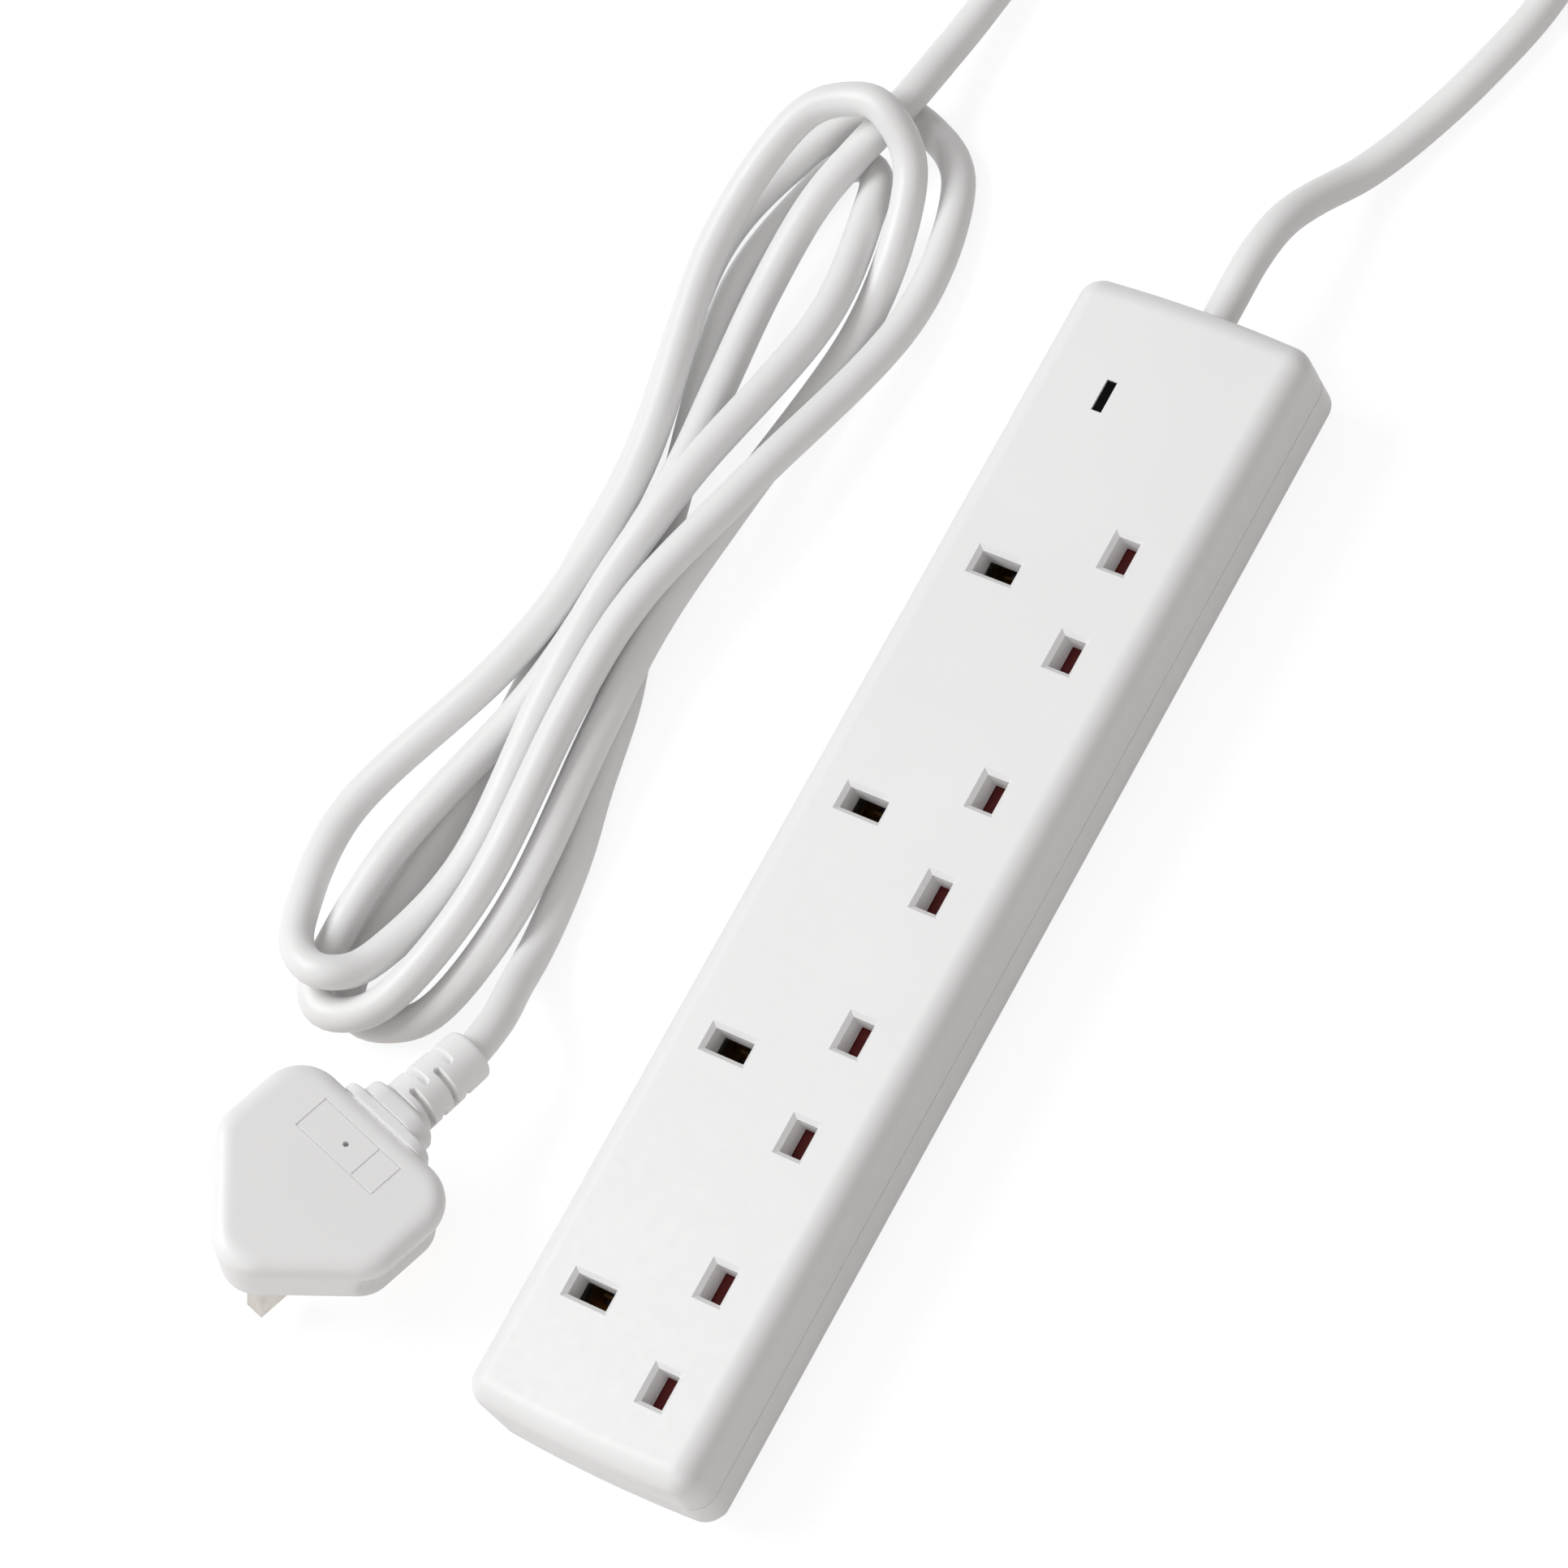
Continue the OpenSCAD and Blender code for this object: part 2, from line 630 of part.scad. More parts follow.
module neon_leads() {
    lamp_in = window_x - lamp_l / 2 - fit_gap;
    lamp_out = window_x + lamp_l / 2 + fit_gap;
    res_in = window_x - 2 - resistor_l / 2 - fit_gap;
    res_out = window_x - 2 + resistor_l / 2 + fit_gap;
    color(steel) {
        sweep(curve([[lamp_out, window_y, lamp_z], [lamp_out + 2, window_y - 0.5, lamp_z - 2],
            [lamp_out + 1.5, window_y - 3, 12], [res_out + 2, resistor_y + 0.5, resistor_z + 1],
            [res_out, resistor_y, resistor_z]], 3), lead_d, 6);
        sweep(curve([[res_in, resistor_y, resistor_z], [res_in - 3, 1.2, 6], [bus_end_x + 8, 0.5, 9.6],
            [bus_end_x + 3, neutral_y + 2, contact_low + bus_h + 0.4],
            [bus_end_x + 0.4, neutral_y, contact_low + bus_h - 0.5]], 3), lead_d, 6);
        sweep(curve([[lamp_in, window_y, lamp_z], [lamp_in - 4, window_y - 4.5, lamp_z - 1],
            [bus_end_x + 6, -6, 16], [bus_end_x + 2.5, line_y + 4, 12],
            [bus_end_x + 0.4, line_y, contact_low + bus_h - 0.5]], 3), lead_d, 6);
    }
}

// ---- cord clamp and screws ----

module cord_clamp() {
    color(white_plastic) difference() {
        box([clamp_x - clamp_l / 2, -clamp_screw_y - clamp_post_r, clamp_bottom],
            [clamp_x + clamp_l / 2, clamp_screw_y + clamp_post_r, clamp_bottom + clamp_t]);
        for (s = [-1, 1]) translate([clamp_x, s * clamp_screw_y, clamp_bottom - 1])
            cylinder(d = clamp_screw_d + 4 * fit_gap, h = clamp_t + 2);
    }
}

// A pan-head screw standing on its tip, the head's underside at z = 0
module screw(d, head_d, head_h, l) {
    cylinder(d = head_d, h = head_h);
    translate([0, 0, -l]) cylinder(d = d, h = l + EPS);
}

module cross_recess(head_d, head_h) {
    for (a = [0, 90]) rotate([0, 0, a])
        box([-head_d * 0.3, -0.35, head_h - 0.7], [head_d * 0.3, 0.35, head_h + 1]);
}

module clamp_screws() {
    color(steel) for (s = [-1, 1])
        translate([clamp_x, s * clamp_screw_y, clamp_bottom + clamp_t]) difference() {
        screw(clamp_screw_d, 5.2, clamp_head_h, 12.5);
        cross_recess(5.2, clamp_head_h);
    }
}

module case_screws() {
    head_h = 2.2;
    color(steel) for (p = case_screw_at) translate([p[0], p[1], screw_sink]) mirror([0, 0, 1]) difference() {
        screw(screw_d, screw_head_d, head_h, screw_top - screw_sink);
        cross_recess(screw_head_d, head_h);
    }
}

// ---- cores in the strip ----

sheath_in = half_l - grip_l;
core_off = 1.8;

core_start = sheath_in - 3 * fit_gap;

module core_line() {
    color([0.45, 0.25, 0.12]) sweep(curve([[core_start, -core_off, exit_h - 0.8],
        [core_start - 2, -core_off, exit_h - 0.8], [sheath_in - 7, -4, 16], [bus_end_x + 15, -10, 12.5],
        [bus_end_x + 9, -16.5, 9], [bus_end_x + 4, line_y + 0.6, 7.5],
        [bus_end_x + 0.4, line_y, 6.6]], 2), core_d, 8);
}

module core_neutral() {
    color([0.15, 0.3, 0.7]) sweep(curve([[core_start, 0, exit_h + 2], [core_start - 2, 0, exit_h + 2],
        [sheath_in - 6, -0.4, exit_h + 0.4], [bus_end_x + 15, -1.5, 13], [bus_end_x + 8, -4, 8.5],
        [bus_end_x + 4, neutral_y, 7], [bus_end_x + 0.4, neutral_y, 6.6]], 2), core_d, 8);
}

module core_earth() {
    color([0.4, 0.6, 0.15]) sweep(curve([[core_start, core_off, exit_h - 0.8],
        [core_start - 2, core_off, exit_h - 0.8], [sheath_in - 5.5, 3, exit_h - 1.6], [bus_end_x + 18, 4.4, 14],
        [bus_end_x + 12, 10, 11], [bus_end_x + 5, 16.5, 8.5], [earth_end_x + 6, earth_y - 0.5, 7],
        [earth_end_x + 0.4, earth_y, 6.6]], 2), core_d, 8);
}

module cord_sheath_end() {
    color(white_flex) translate([sheath_in, 0, exit_h]) rotate([0, 90, 0]) cylinder(d = cord_d, h = grip_l);
}

// ---- plug, in its own frame: x towards the cord, z out of its back, z = 0 at the face ----

plug_turn = [15, 18, -11];
// Height of the plug's own origin: its lowest pin corner rests on the floor
function plug_down(p) = -sin(plug_turn[1]) * p[0] + cos(plug_turn[1]) * sin(plug_turn[0]) * p[1]
    + cos(plug_turn[1]) * cos(plug_turn[0]) * p[2];
pin_chamfer = 0.8;
plug_z = -min(plug_down([half_pin + 2, -half_pin - 3.2, -live_pin_l + pin_chamfer]),
    plug_down([half_pin + 2 - pin_chamfer, -half_pin - 3.2 + pin_chamfer, -live_pin_l])) + 0.02;
plug_at = [-106, 74, plug_z];

module in_plug() {
    translate(plug_at) rotate(plug_turn) children();
}

// Where a point of the plug's own frame lies
function turn_x(p, a) = [p[0], p[1] * cos(a) - p[2] * sin(a), p[1] * sin(a) + p[2] * cos(a)];
function turn_y(p, a) = [p[0] * cos(a) + p[2] * sin(a), p[1], -p[0] * sin(a) + p[2] * cos(a)];
function turn_z(p, a) = [p[0] * cos(a) - p[1] * sin(a), p[0] * sin(a) + p[1] * cos(a), p[2]];
function plug_point_of(p) = plug_at + turn_z(turn_y(turn_x(p, plug_turn[0]), plug_turn[1]), plug_turn[2]);

// Arc of radius r about c from angle a to b in n steps
function arc(c, r, a, b, n) = [for (i = [0:n]) c + r * [cos(a + (b - a) * i / n), sin(a + (b - a) * i / n)]];

// Outline of the plug: square towards the cord, its two slanting sides meeting at the earth pin
function plug_outline(inset) =
    let (r = plug_corner_r - inset, w = plug_w / 2 - inset, e = plug_cord_end - inset,
        tip = -plug_point + inset * sqrt(2) + r * sqrt(2), k = w - r,
        shoulder = -plug_point + inset * sqrt(2) + r * sqrt(2) + k)
    concat(arc([e - r, -k], r, -90, 0, 6), arc([e - r, k], r, 0, 90, 6), arc([shoulder, k], r, 90, 135, 4),
        arc([tip, 0], r, 135, 225, 8), arc([shoulder, -k], r, 225, 270, 4));

bridge_inset = skin_t;
pocket_x = [half_pin - 2 - 13.5, half_pin - 2 - 2.6];
pocket_mid = (pocket_x[0] + pocket_x[1]) / 2;
fuse_z = 1.5 + fuse_d / 2 + fit_gap;
pocket_h = fuse_z + fuse_d / 2 + fit_gap + leaf_t;
pocket_y = fuse_l / 2 + 4.3;
wire_top = plug_exit_h + 3.3;
tail_w = 3;

module pin_hole(w, h) {
    box([-w / 2 - fit_gap / 2, -h / 2 - fit_gap / 2, -1],
        [w / 2 + fit_gap / 2, h / 2 + fit_gap / 2, bridge_h + 1]);
}

// The plug's outer form, without its grips
module plug_form() {
    hull() {
        linear_extrude(1) polygon(plug_outline(plug_taper));
        translate([0, 0, plug_t - plug_fillet]) linear_extrude(EPS) polygon(plug_outline(0));
        translate([0, 0, plug_t - plug_fillet * 0.3]) linear_extrude(EPS)
            polygon(plug_outline(plug_fillet * 0.3));
        translate([0, 0, plug_t - EPS]) linear_extrude(EPS) polygon(plug_outline(plug_fillet));
    }
}

module plug_body() {
    grip_run = 20;
    color(white_plastic) in_plug() difference() {
        plug_form();
        translate([0, 0, -1]) linear_extrude(bridge_h + 1 + fit_gap)
            polygon(plug_outline(bridge_inset - fit_gap));
        // room for the cores over the bridge
        intersection() {
            linear_extrude(wire_top) polygon(plug_outline(bridge_inset));
            box([-half_pin - 3, -half_pin - 3, bridge_h - 1],
                [plug_cord_end - skin_t, half_pin + 3, wire_top]);
        }
        translate([plug_cord_end - skin_t - 1, 0, plug_exit_h]) rotate([0, 90, 0])
            cylinder(d = cord_d + fit_gap, h = skin_t + 2);
        // finger grips of the two straight sides
        for (s = [-1, 1]) translate([3, s * (plug_w / 2 + 1.4), 5.8]) rotate([90, 0, 0])
            translate([0, 0, -3]) linear_extrude(6) {
                square([grip_run - 7, 7], center = true);
                for (e = [-1, 1]) translate([e * (grip_run - 7) / 2, 0]) circle(d = 7);
            }
        translate([9, 0, plug_t - 1]) cylinder(d = 1.2, h = 2);
    }
}

module plug_bridge() {
    color([0.85, 0.85, 0.83]) in_plug() difference() {
        linear_extrude(bridge_h) polygon(plug_outline(bridge_inset));
        translate([-half_pin, 0, 0]) pin_hole(8, 4);
        for (s = [-1, 1]) translate([half_pin, s * half_pin, 0]) pin_hole(4, 6.4);
        box([pocket_x[0], -pocket_y, -1], [pocket_x[1], pocket_y, pocket_h + fit_gap]);
    }
}

// A flat pin with a chamfered tip, pointing down from z = top to z = -l
module pin(w, h, l, top) {
    c = pin_chamfer;
    intersection() {
        along_x(w + 2) polygon([[-h / 2 + c, -l], [h / 2 - c, -l], [h / 2, -l + c], [h / 2, top],
            [-h / 2, top], [-h / 2, -l + c]]);
        along_y(h + 2) polygon([[-w / 2 + c, -l], [w / 2 - c, -l], [w / 2, -l + c], [w / 2, top],
            [-w / 2, top], [-w / 2, -l + c]]);
    }
}

module pin_tail() {
    box([-tail_w / 2, -tail_w / 2, bridge_h - 1], [tail_w / 2, tail_w / 2, wire_top - fit_gap * 2]);
}

module earth_pin() {
    color(brass) in_plug() translate([-half_pin, 0, 0]) {
        pin(8, 4, earth_pin_l, bridge_h);
        pin_tail();
    }
}

sleeve_t = 0.6;

module live_pin(side) {
    color(brass) in_plug() translate([half_pin, side * half_pin, 0]) {
        difference() {
            pin(4, 6.4, live_pin_l, bridge_h);
            difference() {
                box([-3, -4, -sleeve_l], [3, 4, EPS]);
                box([-2 + sleeve_t, -3.2 + sleeve_t, -sleeve_l - 1], [2 - sleeve_t, 3.2 - sleeve_t, 1]);
            }
        }
        pin_tail();
    }
}

module line_pin() { live_pin(1); }
module neutral_pin() { live_pin(-1); }

module pin_sleeves() {
    color([0.1, 0.1, 0.1]) in_plug() for (s = [-1, 1]) translate([half_pin, s * half_pin, 0]) difference() {
        box([-2, -3.2, -sleeve_l], [2, 3.2, 0]);
        box([-2 + sleeve_t, -3.2 + sleeve_t, -sleeve_l - 1], [2 - sleeve_t, 3.2 - sleeve_t, 1]);
    }
}

cap_l = 5.5;

module fuse_barrel() {
    color([0.9, 0.88, 0.82]) in_plug() translate([pocket_mid, 0, fuse_z]) rotate([90, 0, 0])
        cylinder(d = fuse_d - 0.4, h = fuse_l - 2 * cap_l, center = true);
}

module fuse_caps() {
    color(steel) in_plug() for (s = [-1, 1])
        translate([pocket_mid, s * (fuse_l - cap_l) / 2, fuse_z]) rotate([90, 0, 0])
            cylinder(d = fuse_d, h = cap_l, center = true);
}

module fuse_carrier() {
    half = (pocket_x[1] - pocket_x[0]) / 2 - 0.15;
    color([0.75, 0.1, 0.08]) in_plug() translate([pocket_mid, 0, 0]) difference() {
        union() {
            box([-half, -pocket_y + 0.15, 0], [half, pocket_y - 0.15, 1.5]);
            for (s = [-1, 1]) translate([0, s * (fuse_l / 2 + 0.9), 0])
                box([-2.6, -0.7, 1], [2.6, 0.7, fuse_z + 1.6]);
        }
        // notch for a screwdriver
        for (s = [-1, 1]) translate([0, s * pocket_y, 0]) box([-2, -1.2, -1], [2, 1.2, 0.8]);
    }
}

module fuse_clips() {
    inner = fuse_d / 2 + 0.15;
    color(brass) in_plug() for (s = [-1, 1]) translate([pocket_mid, s * (fuse_l / 2 - 2.6), 0]) {
        box([-inner - leaf_t, -1.9, pocket_h - leaf_t], [inner + leaf_t, 1.9, pocket_h]);
        for (e = [-1, 1]) translate([e * (inner + leaf_t / 2), 0, 0])
            box([-leaf_t / 2, -1.9, 1.9], [leaf_t / 2, 1.9, pocket_h]);
    }
}

relief_end = plug_cord_end + relief_l;
flange_t = 1.8;
block_l = 3.8;
flange_w = 21.6;
flange_h = 11.8;
flange_mid = 8.2;
block_w = 15.8;
block_h = 11.6;
neck_start = plug_cord_end + flange_t + block_l;

module across_x(x0, l) {
    translate([x0 + l / 2, 0, 0]) along_x(l) children();
}

module plug_strain_relief() {
    slots = 4;
    step = (relief_l - flange_t - block_l - 6) / (slots - 1);
    color(white_plastic) in_plug() difference() {
        union() {
            across_x(plug_cord_end - plug_taper, flange_t + plug_taper) translate([0, flange_mid])
                rounded_rect(flange_w, flange_h, 4);
            across_x(plug_cord_end + flange_t - EPS, block_l) translate([0, plug_exit_h])
                rounded_rect(block_w, block_h, 5);
            translate([neck_start - EPS, 0, plug_exit_h]) rotate([0, 90, 0])
                cylinder(d1 = relief_d + 1, d2 = relief_d, h = relief_end - neck_start);
        }
        plug_form();
        translate([plug_cord_end - plug_taper - 1, 0, plug_exit_h]) rotate([0, 90, 0])
            cylinder(d = cord_d + fit_gap, h = relief_l + plug_taper + 2);
        // slots that let the neck bend, turned a quarter from one to the next
        for (i = [0:slots - 1]) translate([neck_start + 1.6 + i * step, 0, plug_exit_h])
            rotate([i % 2 * 90, 0, 0]) for (s = [-1, 1]) translate([0, s * (relief_d / 2 + 0.4), 0])
                box([-0.9, -1.7, -3.6], [0.9, 1.7, 3.6]);
    }
}

module plug_sheath_end() {
    color(white_flex) in_plug() translate([plug_cord_end - skin_t + fit_gap, 0, plug_exit_h])
        rotate([0, 90, 0]) cylinder(d = cord_d, h = relief_l + skin_t - 3 * fit_gap - cord_d);
}

module plug_cores() {
    start = plug_cord_end - skin_t - 2 * fit_gap;
    wire_z = bridge_h + core_d / 2 + 0.1;
    near = half_pin - tail_w / 2 - fit_gap;
    color([0.45, 0.25, 0.12]) in_plug() sweep(curve([[start, 2.1, wire_z], [start - 1.5, 2.3, wire_z],
        [start - 3, 4.4, wire_z], [half_pin + 0.2, 7, wire_z], [half_pin, near, wire_z]], 2), core_d, 8);
    color([0.15, 0.3, 0.7]) in_plug() sweep(curve([[start, -2.1, wire_z], [start - 1.5, -2.3, wire_z],
        [start - 3, -4.4, wire_z], [half_pin + 0.2, -7, wire_z], [half_pin, -near, wire_z]], 2), core_d, 8);
    color([0.4, 0.6, 0.15]) in_plug() sweep([[start, 0, plug_exit_h + 2], [8, 0, plug_exit_h + 1.6],
        [0, 0, plug_exit_h + 1.6], [-near, 0, plug_exit_h + 1.6]], core_d, 8);
}

// ---- flex: lead from the strip, then the hank with its run to the plug ----

// Waist of the hank, and the direction its loops lie in
hank_at = [33.5, 93.5];
hank_turn = -3;
loop_rings = 24;

function place(p) = [hank_at[0] + p[0] * cos(hank_turn) - p[1] * sin(hank_turn),
    hank_at[1] + p[0] * sin(hank_turn) + p[1] * cos(hank_turn), p[2]];

// Each run of the hank goes from the waist out to its reach and back while its angle goes from 0 to 180.
// A row holds the reach and, at each of the angles, the offset across the hank and the height.
run_angles = [0, 15, 40, 65, 80, 100, 115, 140, 165];
runs = [
    [-101.5, [[0.8, 10.2], [1.9, 10.4], [9.2, 11.4], [9.2, 10.8], [6.2, 10.5], [-1, 11], [-10.6, 14.6],
        [-15.1, 16.5], [-11.5, 18.2]]],
    [119.5, [[-11.3, 18.2], [-17, 15.6], [-22.3, 6], [-14.6, 3.6], [-0.4, 3.6], [10.8, 3.6], [18.1, 3.6],
        [26.1, 3.6], [15.3, 3.6]]],
    [-98.5, [[12.5, 3.6], [7.2, 3.6], [6.4, 3.6], [6.8, 3.6], [2.3, 3.6], [-5.7, 4.2], [-16.6, 7.8],
        [-20.8, 11], [-15.7, 11.2]]],
    [113.5, [[-12.8, 10.2], [-12.8, 8], [-13.2, 4], [-8.8, 11], [-0.4, 18.8], [7.8, 19.3], [17.2, 18.5],
        [20.5, 14], [10, 11]]],
    [-96.5, [[8.3, 10.6], [11.2, 11.5], [22.4, 12], [15.8, 16.6], [8.6, 19], [1.4, 19.4], [-3, 15.2],
        [-7.4, 12.8], [-4, 15.6]]],
    [106, [[-3.3, 17.3], [-5.7, 18], [-8.8, 11.5], [-1.3, 6.5], [3.6, 3.8], [9.6, 3.6], [13.7, 3.6],
        [16.7, 3.6], [3.7, 3.6]]]];
// The way in from the lead's end, and the way out to the plug
way_in = [[133, 2, 8], [118, 2.2, 11.2], [105, 5.2, 11.2], [90, 7.5, 11.2], [70, 7.6, 9], [50, 4.7, 9],
    [30, 0.6, 11], [15, 0.2, 11.2]];
way_out = [[0, -5.7, 3.6], [-9, -9.3, 3.6], [-19, -13.3, 3.6], [-36, -17.9, 3.6], [-48, -21.8, 3.6],
    [-59, -24.3, 3.6], [-70, -26.6, 4.8], [-79, -30, 10], [-87, -34, 15.6]];

tip_rest = relief_end - cord_d;
plug_end = [plug_point_of([tip_rest, 0, plug_exit_h]), plug_point_of([relief_end, 0, plug_exit_h])];

hank_route = concat([for (p = way_in) place(p)],
    [for (r = runs) for (k = [0:len(run_angles) - 1])
        place([r[0] * sin(run_angles[k]), r[1][k][0], r[1][k][1]])],
    [for (p = way_out) place(p)], [plug_end[1], plug_end[0]]);
// The last stretch stays straight, square to the end of the flex in the plug
hank_curve = curve(hank_route, 2);
hank_path = [for (i = [0:len(hank_curve) - 1]) if (i != len(hank_curve) - 2) hank_curve[i]];

// Least gap of the hank to itself, between stretches more than 25 mm apart along it
gap_path = curve(hank_route, 6);
gap_step = norm(gap_path[9] - gap_path[8]);
gap_skip = 16;
self_gap = min([for (i = [0:len(gap_path) - 1 - gap_skip]) min([for (j = [i + gap_skip:len(gap_path) - 1])
    norm(gap_path[i] - gap_path[j])])]) - cord_d;

function route_length(p) = sum_of([for (i = [1:len(p) - 1]) norm(p[i] - p[i - 1])]);
function sum_of(v) = v * [for (x = v) 1];
echo(self_gap = self_gap, hank_length = route_length(gap_path), lead_length = route_length(lead_path));

// The lead: out of the strip, down to the floor, round in a wide plain arc to the hank
floor_run = cord_d / 2 + 0.1;
lead_route = [[half_l, 0, exit_h], [half_l + 8, 0, exit_h], [half_l + 16, 0, exit_h], [152, -0.7, 16.2],
    [161, -2.5, 11.5], [171, -6, 6], [184, -11, floor_run], [200, -17, floor_run], [220, -22, floor_run],
    [245, -22.5, floor_run], [268, -14, floor_run], [285, 4, floor_run], [291, 28, floor_run],
    [285, 52, floor_run], [268, 70, floor_run], [245, 80, floor_run], [220, 84.5, floor_run],
    [195, 86.4, 4.4], place([142, 1.7, 6.6]), place(way_in[0])];
lead_path = curve(lead_route, 3);

module cord_lead() {
    color(white_flex) sweep(lead_path, cord_d, 10);
}

module cord_hank() {
    color(white_flex) sweep(hank_path, cord_d, 6);
}

top_cover();
outlet_face_1();
outlet_face_2();
outlet_face_3();
outlet_face_4();
base_cover();
shutter_1();
shutter_2();
shutter_3();
shutter_4();
shutter_spring_1();
shutter_spring_2();
shutter_spring_3();
shutter_spring_4();
line_busbar();
neutral_busbar();
earth_busbar();
window_lens();
neon_lamp();
neon_resistor();
neon_leads();
cord_clamp();
clamp_screws();
case_screws();
core_line();
core_neutral();
core_earth();
cord_sheath_end();
cord_lead();
cord_hank();
plug_body();
plug_bridge();
earth_pin();
line_pin();
neutral_pin();
pin_sleeves();
fuse_barrel();
fuse_caps();
fuse_carrier();
fuse_clips();
plug_strain_relief();
plug_sheath_end();
plug_cores();
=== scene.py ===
"""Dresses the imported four-gang extension cord: materials, flex, plug details, light and camera."""

import json
import math

import bmesh
import bpy
from mathutils import Euler, Matrix, Vector


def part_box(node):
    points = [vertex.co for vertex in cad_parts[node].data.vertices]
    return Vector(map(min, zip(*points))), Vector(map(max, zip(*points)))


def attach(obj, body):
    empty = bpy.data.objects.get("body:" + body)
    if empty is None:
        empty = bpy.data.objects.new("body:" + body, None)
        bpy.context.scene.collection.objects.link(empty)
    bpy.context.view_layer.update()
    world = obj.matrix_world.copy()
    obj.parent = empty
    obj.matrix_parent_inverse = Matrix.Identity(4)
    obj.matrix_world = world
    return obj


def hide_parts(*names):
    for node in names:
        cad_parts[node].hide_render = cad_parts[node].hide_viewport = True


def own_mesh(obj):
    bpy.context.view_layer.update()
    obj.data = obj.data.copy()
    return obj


MM = 0.001

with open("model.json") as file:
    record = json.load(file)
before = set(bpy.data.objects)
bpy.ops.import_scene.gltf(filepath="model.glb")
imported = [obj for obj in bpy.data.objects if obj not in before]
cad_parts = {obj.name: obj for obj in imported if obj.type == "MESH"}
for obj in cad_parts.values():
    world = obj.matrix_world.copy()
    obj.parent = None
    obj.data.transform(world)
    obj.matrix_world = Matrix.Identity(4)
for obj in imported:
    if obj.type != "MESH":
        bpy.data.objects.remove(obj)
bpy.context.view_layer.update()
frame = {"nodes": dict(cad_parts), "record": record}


# ---- camera ----

# Solved from the twelve apertures in the photo
CAMERA_AT = Vector((-281.5, -569.3, 1119.3)) * MM
CAMERA_TARGET = Vector((13.5, 43.3, 0.0)) * MM
CAMERA_ROLL = math.radians(38.3)
CAMERA_LENS = 154.2


def make_camera():
    """The camera that took the photo, rolled as it was held."""
    data = bpy.data.cameras.new("camera")
    data.sensor_width = 36
    data.lens = CAMERA_LENS
    data.clip_start = 0.05
    data.clip_end = 50
    cam = bpy.data.objects.new("camera", data)
    bpy.context.scene.collection.objects.link(cam)
    look = (CAMERA_TARGET - CAMERA_AT).to_track_quat("-Z", "Y")
    cam.matrix_world = (
        Matrix.Translation(CAMERA_AT)
        @ look.to_matrix().to_4x4()
        @ Matrix.Rotation(-CAMERA_ROLL, 4, "Z")
    )
    bpy.context.scene.camera = cam


make_camera()


# ---- materials ----


class Shade:
    """Node material with object-space coordinates and a few shorthands."""

    def __init__(self, name):
        self.mat = bpy.data.materials.new(name)
        self.mat.use_nodes = True
        self.nodes = self.mat.node_tree.nodes
        self.links = self.mat.node_tree.links
        self.bsdf = self.nodes["Principled BSDF"]
        self.coord = self.nodes.new("ShaderNodeTexCoord").outputs["Object"]

    def node(self, kind, inputs=None, **props):
        n = self.nodes.new("ShaderNode" + kind)
        for k, v in props.items():
            setattr(n, k, v)
        for k, v in (inputs or {}).items():
            if isinstance(v, bpy.types.NodeSocket):
                self.links.new(v, n.inputs[k])
            else:
                n.inputs[k].default_value = v
        return n

    def noise(self, scale, detail=3, rough=0.5, vector=None):
        return self.node(
            "TexNoise",
            {"Vector": vector or self.coord, "Scale": scale, "Detail": detail, "Roughness": rough},
        ).outputs["Fac"]

    def ramp(self, fac, low, high, at=(0.3, 0.7)):
        n = self.node("ValToRGB", {"Fac": fac})
        for e, p, c in zip(n.color_ramp.elements, at, (low, high)):
            e.position = p
            e.color = (*c, 1) if len(c) == 3 else c
        return n.outputs["Color"]

    def value(self, fac, low, high):
        return self.node(
            "MapRange",
            {"Value": fac, "From Min": 0.3, "From Max": 0.7, "To Min": low, "To Max": high},
        ).outputs["Result"]

    def bump(self, height, strength, distance, normal=None):
        ins = {"Height": height, "Strength": strength, "Distance": distance}
        if normal:
            ins["Normal"] = normal
        return self.node("Bump", ins).outputs["Normal"]

    def set(self, **sockets):
        for k, v in sockets.items():
            k = k.replace("_", " ")
            if isinstance(v, bpy.types.NodeSocket):
                self.links.new(v, self.bsdf.inputs[k])
            else:
                self.bsdf.inputs[k].default_value = v
        return self.mat


def grey(v, warm=0.0):
    """A neutral colour, a little yellower where it is warm."""
    return (v, v * (1 - 0.006 * warm), v * (1 - 0.02 * warm))


def moulded(name, shade, rough, warm=0.3, grain=0.00002, tone=0.012):
    """Moulded plastic: faint tone drift, fine spark-eroded grain, uneven gloss."""
    s = Shade(name)
    drift = s.noise(22, 2)
    grain_noise = s.noise(2600, 2, 0.6)
    waves = s.noise(160, 2)
    low, high = grey(shade - tone, warm), grey(shade + tone, warm)
    normal = s.bump(grain_noise, 0.35, grain, s.bump(waves, 0.15, 0.00006))
    return s.set(
        Base_Color=s.ramp(drift, low, high),
        Roughness=s.value(s.noise(420, 3), rough - 0.05, rough + 0.05),
        Normal=normal,
        Specular_IOR_Level=0.45,
    )


def flex_material():
    """Soft PVC sheath: slightly uneven skin with faint handling marks."""
    s = Shade("flex_pvc")
    drift = s.noise(35, 3)
    scuffs = s.noise(700, 5, 0.7)
    dents = s.noise(180, 2)
    normal = s.bump(scuffs, 0.12, 0.00006, s.bump(dents, 0.2, 0.00015))
    return s.set(
        Base_Color=s.ramp(drift, grey(0.84, 0.3), grey(0.87, 0.2)),
        Roughness=s.value(s.noise(300, 4), 0.34, 0.46),
        Normal=normal,
        Specular_IOR_Level=0.5,
    )


